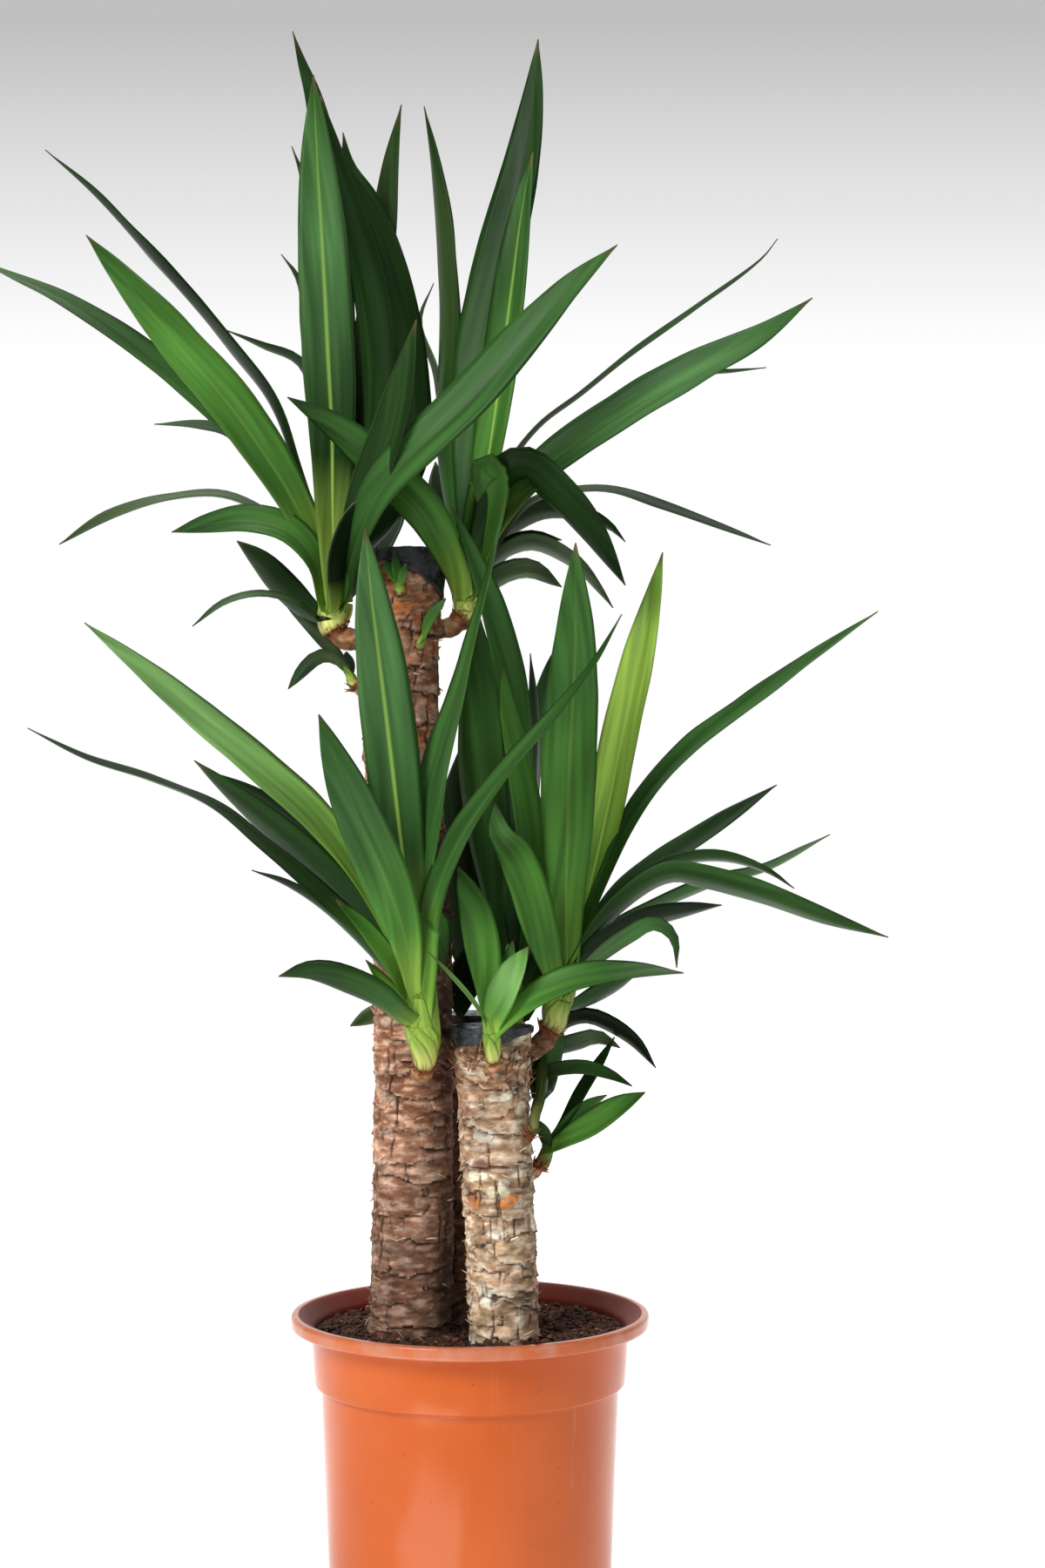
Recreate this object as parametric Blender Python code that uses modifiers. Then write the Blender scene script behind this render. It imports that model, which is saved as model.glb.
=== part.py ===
"""Potted yucca: three bare canes with sealed tops, leafy side shoots, soil and a nursery pot.

Metres, +Z up. The origin is the middle of the pot's flat base, and the plant's front faces -Y.
"""

import math

import bmesh
import bpy
import numpy as np
from mathutils import Matrix, Vector

MM = 0.001
GAP = 0.3 * MM

# Pot
POT_HEIGHT = 225 * MM
LIP_RADIUS = 120 * MM
LIP_HEIGHT = 9 * MM
LIP_TOP_WIDTH = 7 * MM
BAND_TOP_RADIUS = 106.5 * MM
BAND_LOW_RADIUS = 104 * MM
BAND_LOW_Z = 178 * MM
BODY_TOP_RADIUS = 99.7 * MM
BASE_RADIUS = 92.5 * MM
WALL = 2.2 * MM
BASE_EDGE = 2 * MM
POT_SIDES = 32
DRAIN_HOLES = 5
DRAIN_RADIUS = 6 * MM
DRAIN_CIRCLE = 62 * MM
DRAIN_SIDES = 8
LIP_ROUND = 1.6 * MM

# Soil
SOIL_TOP = 213 * MM
SOIL_LUMP = 2.2 * MM
CANE_FOOT = 95 * MM
SOIL_RINGS = 3

# The view that the plant was read in: level, straight along +Y, in a frame 1200 wide and 1800 high
VIEW_X = 35.1 * MM
VIEW_Z = 579 * MM
VIEW_DISTANCE = 1806 * MM
FOCAL_PX = 3087.0
CENTRE_PX = 600.0
HORIZON_PX = 900.0

# Bark
CANE_SIDES = 12
SCAR_PITCH = 20 * MM
SCAR_STEP = 1.6 * MM
SCAR_TILT = 0.35
SCAR_TILT_TURN = 90 * MM
SCAR_WAVER = 0.12
BARK_WAVE = 0.9 * MM
BARK_LONG = 21 * MM
BARK_SHORT = 13 * MM
CALM_FADE = 10 * MM
CALM_FOOT = 6 * MM

# Wax seals
WAX_THICK = 1.1 * MM
WAX_DRIP = 2.5 * MM

# Leaves
BLADE_THICK = 0.8 * MM
TIP_WIDTH = 0.9 * MM
BASE_SHARE = 0.46
WIDEST_AT = 0.5
TIP_POWER = 2.6
ROW_LENGTH = 50 * MM
MIN_ROWS = 4
MAX_ROWS = 6
CORE_SIDES = 6
FLAT_BELOW = 30.5 * MM
ROOT_DEPTH = 8 * MM
CORE_STRAIGHT = 0.7
HAIR_TURN = math.radians(0.26)
PATH_STEPS = 24


def at_pixel(px, py, depth):
    """The place seen at a picture point, at a depth in mm behind the pot's axis."""
    reach = (VIEW_DISTANCE + depth * MM) / FOCAL_PX
    return Vector((VIEW_X + (px - CENTRE_PX) * reach, depth * MM, VIEW_Z - (py - HORIZON_PX) * reach))


def scene_start():
    """An empty scene with one collection for the parts and one for the cutters."""
    for item in list(bpy.data.objects):
        bpy.data.objects.remove(item)
    made = []
    for name in ("potted_yucca", "cutters"):
        group = bpy.data.collections.new(name)
        bpy.context.scene.collection.children.link(group)
        made.append(group)
    return made


PARTS, CUTTERS = scene_start()


def material(name, colour, roughness):
    made = bpy.data.materials.new(name)
    made.use_nodes = True
    shader = made.node_tree.nodes["Principled BSDF"]
    shader.inputs["Base Color"].default_value = (*colour, 1.0)
    shader.inputs["Roughness"].default_value = roughness
    made.diffuse_color = (*colour, 1.0)
    return made


ORANGE_PLASTIC = material("orange_plastic", (0.74, 0.16, 0.04), 0.38)
PEAT = material("peat", (0.020, 0.014, 0.010), 0.95)
TALL_BARK = material("tall_bark", (0.22, 0.11, 0.065), 0.85)
SHORT_BARK = material("short_bark", (0.36, 0.26, 0.18), 0.85)
BACK_BARK = material("back_bark", (0.16, 0.09, 0.06), 0.88)
BLACK_WAX = material("black_wax", (0.018, 0.018, 0.021), 0.35)
LEAF_GREEN = material("leaf_green", (0.055, 0.16, 0.04), 0.42)


def new_object(name, mesh, group, finish=None):
    made = bpy.data.objects.new(name, mesh)
    group.objects.link(made)
    if finish:
        mesh.materials.append(finish)
    return made


def mesh_from(name, build):
    """A mesh filled by a function that is given an empty bmesh."""
    shape = bmesh.new()
    build(shape)
    mesh = bpy.data.meshes.new(name)
    shape.to_mesh(mesh)
    shape.free()
    return mesh


def evaluated_mesh(item):
    """The object's mesh as its modifiers leave it."""
    bpy.context.view_layer.update()
    graph = bpy.context.evaluated_depsgraph_get()
    return bpy.data.meshes.new_from_object(item.evaluated_get(graph), depsgraph=graph)


def settle(item):
    """Apply the object's modifiers."""
    mesh = evaluated_mesh(item)
    item.modifiers.clear()
    item.data = mesh


def cut(target, cutter):
    cutter.hide_render = True
    cutter.display_type = "WIRE"
    boolean = target.modifiers.new(f"cut_{cutter.name}", "BOOLEAN")
    boolean.operation = "DIFFERENCE"
    boolean.object = cutter


def turned(name, profile, group, finish):
    """A profile of (radius, height) points, outer side first from the top down, turned round Z."""
    mesh = bpy.data.meshes.new(name)
    points = [(radius, 0, height) for radius, height in profile]
    edges = [(index, index + 1) for index in range(len(points) - 1)]
    mesh.from_pydata(points, edges, [])
    made = new_object(name, mesh, group, finish)
    screw = made.modifiers.new("turn", "SCREW")
    screw.steps = POT_SIDES
    screw.render_steps = POT_SIDES
    screw.use_merge_vertices = True
    screw.merge_threshold = 0.00001
    return made


def drop(item):
    data = item.data
    bpy.data.objects.remove(item)
    if data.users == 0:
        bpy.data.meshes.remove(data)


# Pot

def wall_radius(height):
    """The pot body's outer radius, below the band."""
    return BASE_RADIUS + (BODY_TOP_RADIUS - BASE_RADIUS) * height / BAND_LOW_Z


def pot_inner_profile():
    """The inner wall's (radius, height) points, from the lip down to the floor's edge."""
    lip_inner = LIP_RADIUS - LIP_TOP_WIDTH
    return [
        (lip_inner, POT_HEIGHT),
        (BAND_TOP_RADIUS - WALL, POT_HEIGHT - LIP_HEIGHT),
        (BAND_LOW_RADIUS - WALL, BAND_LOW_Z + WALL),
        (BODY_TOP_RADIUS - WALL, BAND_LOW_Z),
        (wall_radius(WALL) - WALL, WALL),
    ]


def make_pot():
    outer = [
        (0, 0),
        (BASE_RADIUS - BASE_EDGE, 0),
        (wall_radius(BASE_EDGE), BASE_EDGE),
        (BODY_TOP_RADIUS, BAND_LOW_Z),
        (BAND_LOW_RADIUS, BAND_LOW_Z),
        (BAND_TOP_RADIUS, POT_HEIGHT - LIP_HEIGHT),
        (LIP_RADIUS - LIP_ROUND, POT_HEIGHT - LIP_HEIGHT),
        (LIP_RADIUS, POT_HEIGHT - LIP_HEIGHT + LIP_ROUND),
        (LIP_RADIUS, POT_HEIGHT - LIP_ROUND),
        (LIP_RADIUS - LIP_ROUND, POT_HEIGHT),
    ]
    profile = [(0, WALL)] + pot_inner_profile()[::-1] + outer[::-1]
    pot = turned("pot", profile, PARTS, ORANGE_PLASTIC)
    for index in range(DRAIN_HOLES):
        angle = math.tau * (index + 0.5) / DRAIN_HOLES
        place = Matrix.Translation((DRAIN_CIRCLE * math.cos(angle), DRAIN_CIRCLE * math.sin(angle), 0))
        mesh = mesh_from("drain", lambda shape: bmesh.ops.create_cone(
            shape, cap_ends=True, segments=DRAIN_SIDES, radius1=DRAIN_RADIUS, radius2=DRAIN_RADIUS,
            depth=WALL * 4, matrix=place))
        cut(pot, new_object(f"drain_{index}", mesh, CUTTERS))


# Canes

class Cane:
    """A bare stem: a depth, picture points up its middle with its width in mm at each, and how
    far below its top the bark stays plain, where the wax sits."""

    def __init__(self, name, depth, middle, calm_top, phase, finish):
        self.name = name
        self.depth = depth
        self.calm_top = calm_top * MM
        self.phase = phase
        self.finish = finish
        places = [at_pixel(px, py, depth) for px, py, _ in middle]
        order = np.argsort([place.z for place in places])
        self.heights = np.array([places[index].z for index in order])
        self.xs = np.array([places[index].x for index in order])
        self.radii = np.array([middle[index][2] * MM / 2 for index in order])
        self.top = float(self.heights[-1])

    def centre(self, height):
        return Vector((float(np.interp(height, self.heights, self.xs)), self.depth * MM, height))

    def radius(self, height):
        return float(np.interp(height, self.heights, self.radii))

    def bark(self, height, angle):
        """How far the bark stands off the plain stem: scar rings, and a slow waviness."""
        calm = min(1, max(0, (height - SOIL_TOP - CALM_FOOT) / CALM_FOOT))
        calm *= min(1, max(0, (self.top - self.calm_top - height) / CALM_FADE))
        tilt = SCAR_TILT * math.sin(angle + self.phase + height / SCAR_TILT_TURN)
        turn_share = height / SCAR_PITCH + tilt + SCAR_WAVER * math.sin(3 * angle + self.phase)
        scar = 1 - turn_share % 1.0
        wave = math.sin(2 * angle + height / BARK_LONG + self.phase)
        wave += 0.7 * math.sin(5 * angle - height / BARK_SHORT + 2 * self.phase)
        return calm * (SCAR_STEP * (scar - 0.6) + BARK_WAVE * 0.5 * wave)

    def surface(self, height, angle, extra=0.0):
        reach = self.radius(height) + self.bark(height, angle) + extra
        return self.centre(height) + Vector((reach * math.cos(angle), reach * math.sin(angle), 0))


TALL = Cane("cane_tall", -12, [
    (470, 1530, 55), (474, 1400, 54), (475, 1200, 53), (474, 1080, 53), (466, 950, 52),
    (460, 850, 51), (460, 780, 51), (464, 700, 50), (470, 633, 47)], 40, 0.4, TALL_BARK)
SHORT = Cane("cane_short", -35, [
    (579, 1530, 47), (576, 1450, 47), (567, 1260, 48), (564, 1205, 53), (565, 1180, 52)], 20, 2.1, SHORT_BARK)
BACK = Cane("cane_back", 42, [
    (527, 1530, 46), (532, 1350, 45), (543, 1190, 44), (546, 1165, 43)], 14, 4.4, BACK_BARK)


def ring_heights(cane):
    """Heights of the mesh rings: two to a scar, plain in the soil."""
    heights = [CANE_FOOT, SOIL_TOP + CALM_FOOT * 0.8]
    step = SCAR_PITCH / 2
    first = math.ceil((SOIL_TOP + 1.5 * CALM_FOOT) / step) * step
    heights += list(np.arange(first, cane.top - step * 0.6, step))
    heights.append(cane.top)
    return heights


def loft(shape, rings):
    """Closed skin over rings of points, each ring running the same way."""
    rings = [[shape.verts.new(corner) for corner in ring] for ring in rings]
    for low, high in zip(rings, rings[1:]):
        for side in range(len(low)):
            after = (side + 1) % len(low)
            shape.faces.new((low[side], low[after], high[after], high[side]))
    shape.faces.new(rings[0][::-1])
    shape.faces.new(rings[-1])
    bmesh.ops.triangulate(shape, faces=shape.faces[:])
    bmesh.ops.recalc_face_normals(shape, faces=shape.faces[:])


def stem_object(name, cane, heights, extra, group, finish=None):
    """A cane's skin through rings at the given heights, held off its surface by extra."""
    angles = [math.tau * side / CANE_SIDES for side in range(CANE_SIDES)]
    rings = [[cane.surface(height, angle, extra) for angle in angles] for height in heights]
    return new_object(name, mesh_from(name, lambda shape: loft(shape, rings)), group, finish)


def make_stem(cane):
    return stem_object(cane.name, cane, ring_heights(cane), 0, PARTS, cane.finish)


def tube(name, points, radii, group):
    """A closed tube through points, with a radius at each."""
    rings = []
    for index, point in enumerate(points):
        ahead = points[min(index + 1, len(points) - 1)] - points[max(index - 1, 0)]
        turn = ahead.to_track_quat("Z", "X").to_matrix()
        angles = [math.tau * side / CORE_SIDES for side in range(CORE_SIDES)]
        rings.append([point + turn @ Vector((math.cos(angle), math.sin(angle), 0)) * radii[index]
                      for angle in angles])
    return new_object(name, mesh_from(name, lambda shape: loft(shape, rings)), group)


def fuse(body, pieces):
    """Join pieces to a body by one union, keep the one closed skin, and remove the pieces."""
    group = bpy.data.collections.new(f"{body.name}_pieces")
    bpy.context.scene.collection.children.link(group)
    for piece in pieces:
        for old in list(piece.users_collection):
            old.objects.unlink(piece)
        group.objects.link(piece)
    union = body.modifiers.new("join", "BOOLEAN")
    union.operation = "UNION"
    union.operand_type = "COLLECTION"
    union.collection = group
    union.solver = "MANIFOLD"
    settle(body)
    for piece in pieces:
        drop(piece)
    bpy.data.collections.remove(group)
    keep_main_skin(body)


def islands(shape):
    """Groups of faces that hang together."""
    waiting = set(shape.faces)
    groups = []
    while waiting:
        stack = [waiting.pop()]
        group = list(stack)
        while stack:
            face = stack.pop()
            for edge in face.edges:
                for other in edge.link_faces:
                    if other in waiting:
                        waiting.remove(other)
                        stack.append(other)
                        group.append(other)
        groups.append(group)
    return groups


def keep_main_skin(item):
    """Drop sealed hollows and loose scraps, which leaves the largest closed skin."""
    shape = bmesh.new()
    shape.from_mesh(item.data)
    bmesh.ops.triangulate(shape, faces=shape.faces[:])
    groups = islands(shape)
    groups.sort(key=len)
    spare = [face for group in groups[:-1] for face in group]
    bmesh.ops.delete(shape, geom=spare, context="FACES")
    shape.to_mesh(item.data)
    shape.free()


# Leaves

def smooth_path(points, count):
    """Places evenly spaced along a smooth curve through the points."""
    known = np.array([tuple(point) for point in points])
    gaps = np.linalg.norm(np.diff(known, axis=0), axis=1)
    knots = np.concatenate(([0], np.cumsum(np.sqrt(gaps))))
    slopes = np.gradient(known, knots, axis=0) if len(known) > 2 else np.repeat(
        [(known[1] - known[0]) / (knots[1] - knots[0])], 2, axis=0)
    fine = []
    for index in range(len(known) - 1):
        span = knots[index + 1] - knots[index]
        for share in np.linspace(0, 1, PATH_STEPS, endpoint=False):
            square, cube = share ** 2, share ** 3
            fine.append((2 * cube - 3 * square + 1) * known[index]
                        + (cube - 2 * square + share) * span * slopes[index]
                        + (3 * square - 2 * cube) * known[index + 1]
                        + (cube - square) * span * slopes[index + 1])
    fine.append(known[-1])
    fine = np.array(fine)
    along = np.concatenate(([0], np.cumsum(np.linalg.norm(np.diff(fine, axis=0), axis=1))))
    wanted = np.linspace(0, along[-1], count)
    places = np.stack([np.interp(wanted, along, fine[:, axis]) for axis in range(3)], axis=1)
    return [Vector(place) for place in places], float(along[-1])


def width_share(share):
    """A leaf's width along its length, as a share of its widest: clasping base, long sharp tip."""
    if share < WIDEST_AT:
        rise = share / WIDEST_AT
        return BASE_SHARE + (1 - BASE_SHARE) * rise * rise * (3 - 2 * rise)
    fall = (share - WIDEST_AT) / (1 - WIDEST_AT)
    return 1 - fall ** TIP_POWER


class Leaf:
    """A strap leaf: widest width in mm, turn away from the viewer in degrees, spine, and fold.

    The turn is one value, or several spread from base to tip, and a positive one shows the
    upper face. The fold is how far each half is bent up from flat, in degrees.
    """

    def __init__(self, width, turn, *points, fold=12):
        self.width = width * MM
        self.turns = turn if isinstance(turn, tuple) else (turn,)
        self.points = [at_pixel(*point) for point in points]
        self.fold = math.radians(fold if self.turns[0] >= 0 else -fold)

    def turn(self, share):
        stops = np.linspace(0, 1, len(self.turns)) if len(self.turns) > 1 else [0]
        return math.radians(float(np.interp(share, stops, self.turns)))

    def frames(self, rows, extra_turn):
        """For each row: its place, its side direction and the normal of the face that shows."""
        places, _ = smooth_path(self.points, rows)
        eye = Vector((VIEW_X, -VIEW_DISTANCE, VIEW_Z))
        lean = 1 if self.points[-1].x < self.points[0].x else -1
        for index, place in enumerate(places):
            ahead = (places[min(index + 1, rows - 1)] - places[max(index - 1, 0)]).normalized()
            look = eye - place
            facing = (look - ahead * look.dot(ahead)).normalized()
            upward = ahead.cross(facing) * lean
            turn = self.turn(index / (rows - 1)) + extra_turn
            normal = facing * math.cos(turn) + upward * math.sin(turn)
            yield place, normal.cross(ahead), normal

    def rows(self):
        _, length = smooth_path(self.points, 2)
        return int(min(MAX_ROWS, max(MIN_ROWS, round(length / ROW_LENGTH) + 2)))

    def build(self, name, group, extra_turn):
        rows = self.rows()

        def fill(shape):
            lines = []
            for index, (place, across, normal) in enumerate(self.frames(rows, extra_turn)):
                share = index / (rows - 1)
                half = max(TIP_WIDTH, self.width * width_share(share)) / 2
                reach = across * half * math.cos(self.fold)
                lift = normal * half * math.sin(self.fold)
                line = [place - reach + lift, place, place + reach + lift]
                if self.width < FLAT_BELOW:
                    line = [line[0], line[2]]
                lines.append([shape.verts.new(point) for point in line])
            for low, high in zip(lines, lines[1:]):
                for near, far in zip(range(len(low) - 1), range(1, len(low))):
                    shape.faces.new((low[near], low[far], high[near]))
                    shape.faces.new((low[far], high[far], high[near]))
            bmesh.ops.recalc_face_normals(shape, faces=shape.faces[:])
        blade = new_object(name, mesh_from(name, fill), group)
        solid = blade.modifiers.new("thickness", "SOLIDIFY")
        solid.thickness = BLADE_THICK
        solid.offset = 0
        blade.modifiers.new("flat_faces", "TRIANGULATE")
        return blade


class Shoot:
    """A leafy shoot: the cane it grew from, its woody neck and green core, and its leaves.

    Neck and core are picture points with a depth each. The core starts at the neck's end face.
    """

    def __init__(self, name, cane, neck, neck_radius, core, core_radii, leaves):
        self.name = name
        self.cane = cane
        self.neck = [at_pixel(*point) for point in neck]
        self.neck_radius = neck_radius * MM
        outward = (self.neck[-1] - self.neck[-2]).normalized()
        start = self.neck[-1] + outward * GAP
        self.core_radii = [radius * MM for radius in (core_radii[0], *core_radii)]
        straight = start + outward * self.core_radii[0] * CORE_STRAIGHT
        self.core = [start, straight] + [at_pixel(*point) for point in core]
        self.leaves = leaves

    def root(self, leaf):
        """A point on the core's axis, below where the leaf comes away."""
        deep = leaf.points[0].z - ROOT_DEPTH
        axis = self.core[2:]
        return min(axis, key=lambda point: abs(point.z - deep))

    def plant(self):
        for leaf in self.leaves:
            leaf.points.insert(0, self.root(leaf))

    def make_neck(self):
        radii = [self.neck_radius] * len(self.neck)
        return tube(f"{self.name}_neck", self.neck, radii, PARTS)

    def make(self):
        """Core and leaves in one skin. Leaves turn by a hair in turns, so no two cuts coincide."""
        body = tube(self.name, self.core, self.core_radii, PARTS)
        body.data.materials.append(LEAF_GREEN)
        blades = [leaf.build(f"{self.name}_leaf_{index}", PARTS, HAIR_TURN * (-1) ** index)
                  for index, leaf in enumerate(self.leaves)]
        fuse(body, blades)


# Soil

def inner_radius(height):
    """The pot's inner radius at a height."""
    points = sorted(pot_inner_profile(), key=lambda point: point[1])
    return float(np.interp(height, [z for _, z in points], [radius for radius, _ in points]))


def lump(x, y):
    """How far the peat's surface stands off level."""
    broad = math.sin(x / (17 * MM) + 0.6) * math.cos(y / (14 * MM) - 0.9)
    fine = math.sin(x / (6.1 * MM) + y / (9.3 * MM)) * math.cos(y / (5.7 * MM) - x / (11 * MM))
    return SOIL_LUMP * (0.6 * broad + 0.4 * fine)


def make_soil(canes):
    edge = inner_radius(SOIL_TOP) - GAP
    top = [(edge * ring / SOIL_RINGS, SOIL_TOP) for ring in range(SOIL_RINGS + 1)]
    side = [
        (BAND_LOW_RADIUS - WALL - GAP, BAND_LOW_Z + WALL),
        (BODY_TOP_RADIUS - WALL - GAP, BAND_LOW_Z + WALL),
        (BODY_TOP_RADIUS - WALL - GAP, BAND_LOW_Z),
        (wall_radius(WALL) - WALL - GAP, WALL + GAP),
        (0, WALL + GAP),
    ]
    soil = turned("soil", top + side, PARTS, PEAT)
    settle(soil)
    for vertex in soil.data.vertices:
        place = vertex.co
        if place.z > SOIL_TOP - GAP and place.xy.length < edge - GAP:
            place.z += lump(place.x, place.y)
    for cane in canes:
        heights = [CANE_FOOT - GAP, SOIL_TOP + CALM_FOOT * 0.8]
        cut(soil, stem_object(f"{cane.name}_hole", cane, heights, GAP, CUTTERS))


# Wax seals

def make_wax(name, cane, edge_height):
    """A thin shell dipped over a cane's cut top, with a wavy lower edge."""
    def fill(shape):
        angles = [math.tau * side / CANE_SIDES for side in range(CANE_SIDES)]
        rings = []
        for share in (0, 0.5, 1):
            ring = []
            for angle in angles:
                low = edge_height(angle)
                high = cane.top + GAP
                ring.append(cane.surface(low + (high - low) * share, angle, GAP))
            rings.append(ring)
        centre = cane.centre(cane.top + GAP)
        rings.append([centre + (corner - centre) * 0.5 for corner in rings[-1]])
        rings = [[shape.verts.new(corner) for corner in ring] for ring in rings]
        for low, high in zip(rings, rings[1:]):
            for side in range(CANE_SIDES):
                after = (side + 1) % CANE_SIDES
                shape.faces.new((low[side], low[after], high[after], high[side]))
        shape.faces.new(rings[-1])
        bmesh.ops.triangulate(shape, faces=shape.faces[:])
    wax = new_object(name, mesh_from(name, fill), PARTS, BLACK_WAX)
    shell = wax.modifiers.new("thickness", "SOLIDIFY")
    shell.thickness = WAX_THICK
    shell.offset = 1
    shell.use_even_offset = True


def tall_wax_edge(angle):
    """Lowest at the right, where the wax ran down beside the upper right shoot."""
    run = (0.5 + 0.5 * math.cos(angle - 0.17)) ** 2.2
    return TALL.top - 9 * MM - 26 * MM * run - 0.4 * WAX_DRIP * math.sin(3 * angle + 0.4)


def short_wax_edge(angle):
    """Lower at the front left, high at the right, where the lower right shoot's neck is."""
    run = 0.5 - 0.5 * math.cos(angle)
    return SHORT.top - 3 * MM - 9 * MM * run - 0.4 * WAX_DRIP * math.sin(4 * angle)


def back_wax_edge(angle):
    return BACK.top - 8 * MM - WAX_DRIP * math.sin(3 * angle)


# Leaves, shoot by shoot. A leaf is its width in mm, its turn, and picture points with a depth.

UPPER_LEFT = Shoot(
    "head_upper_left", TALL,
    [(442, 734, -12), (406, 734, -12), (391, 731, -12), (387, 723, -12)], 7.2,
    [(385, 700, -12), (385, 675, -12), (385, 645, -12), (386, 615, -12)], (9.5, 10.5, 10.5, 9, 4), [
        Leaf(33, 60, (373, 672, -10), (330, 580, 0), (250, 480, 5), (100, 362, 0), (-22, 300, -5)),
        Leaf(36, 30, (384, 690, -16), (345, 590, -30), (270, 475, -45), (195, 385, -55), (99, 270, -60)),
        Leaf(28, -74, (378, 660, 0), (340, 540, 18), (310, 462, 24), (260, 395, 28), (200, 325, 28),
             (110, 225, 20), (52, 172, 15)),
        Leaf(20, -65, (384, 640, 6), (370, 520, 44), (345, 420, 50), (300, 397, 52), (257, 378, 52)),
        Leaf(28, 68, (372, 670, 4), (330, 580, 24), (265, 500, 32), (230, 490, 32), (177, 487, 30)),
        Leaf(30, (58, 78, 82, 60), (373, 690, 10), (345, 630, 16), (300, 590, 18), (255, 571, 18),
             (200, 573, 18), (130, 592, 16), (68, 625, 14)),
        Leaf(30, 50, (374, 700, -18), (362, 645, -34), (330, 610, -42), (285, 598, -44), (240, 602, -42),
             (197, 611, -40)),
        Leaf(26, -40, (378, 712, -4), (352, 700, 4), (322, 672, 6), (298, 645, 6), (272, 621, 6)),
        Leaf(15, (70, 72, 60), (376, 716, -6), (356, 704, -22), (340, 693, -26), (300, 683, -26),
             (258, 692, -24), (221, 719, -22)),
        Leaf(36, 6, (386, 696, -22), (382, 600, -34), (381, 500, -34), (376, 400, -40), (371, 300, -42),
             (364, 180, -35), (360, 86, -28)),
        Leaf(30, 40, (387, 660, -4), (388, 500, 0), (385, 350, 2), (374, 200, 0), (358, 110, -2),
             (346, 72, -4), (336, 36, -6)),
        Leaf(26, -60, (384, 660, 4), (375, 450, 18), (360, 300, 18), (345, 200, 16), (335, 168, 15)),
        Leaf(24, -62, (382, 655, 8), (375, 550, 30), (360, 420, 34), (342, 322, 34), (323, 292, 34)),
        Leaf(32, 42, (392, 660, -6), (424, 560, -12), (432, 450, -14), (420, 330, -14), (392, 220, -12),
             (368, 110, -10)),
        Leaf(34, -35, (394, 650, 0), (440, 600, 4), (476, 520, 6), (473, 430, 8), (455, 330, 10),
             (425, 232, 14), (402, 190, 16), (394, 152, 18)),
        Leaf(32, 44, (390, 655, 4), (400, 580, 34), (420, 450, 38), (435, 340, 38), (443, 260, 36),
             (450, 190, 35), (461, 120, 34)),
        Leaf(34, (60, 40, 30, 35), (394, 690, -22), (406, 635, -50), (436, 565, -82), (478, 518, -94),
             (540, 458, -100), (600, 390, -102), (655, 330, -104), (709, 281, -104)),
        Leaf(30, (30, 38, 45), (390, 690, -24), (404, 630, -46), (425, 560, -70), (448, 495, -86),
             (465, 430, -94), (478, 367, -96)),
        Leaf(26, -50, (388, 700, -26), (395, 635, -48), (412, 595, -58), (440, 572, -64), (473, 549, -68)),
        Leaf(32, 55, (388, 680, 4), (392, 600, 50), (398, 520, 100), (404, 450, 150)),
        Leaf(34, 40, (392, 690, 4), (420, 645, 50), (444, 604, 90), (456, 576, 130)),
        Leaf(30, 75, (388, 705, 4), (396, 684, 60), (402, 672, 120), (405, 670, 190)),
    ])

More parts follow.
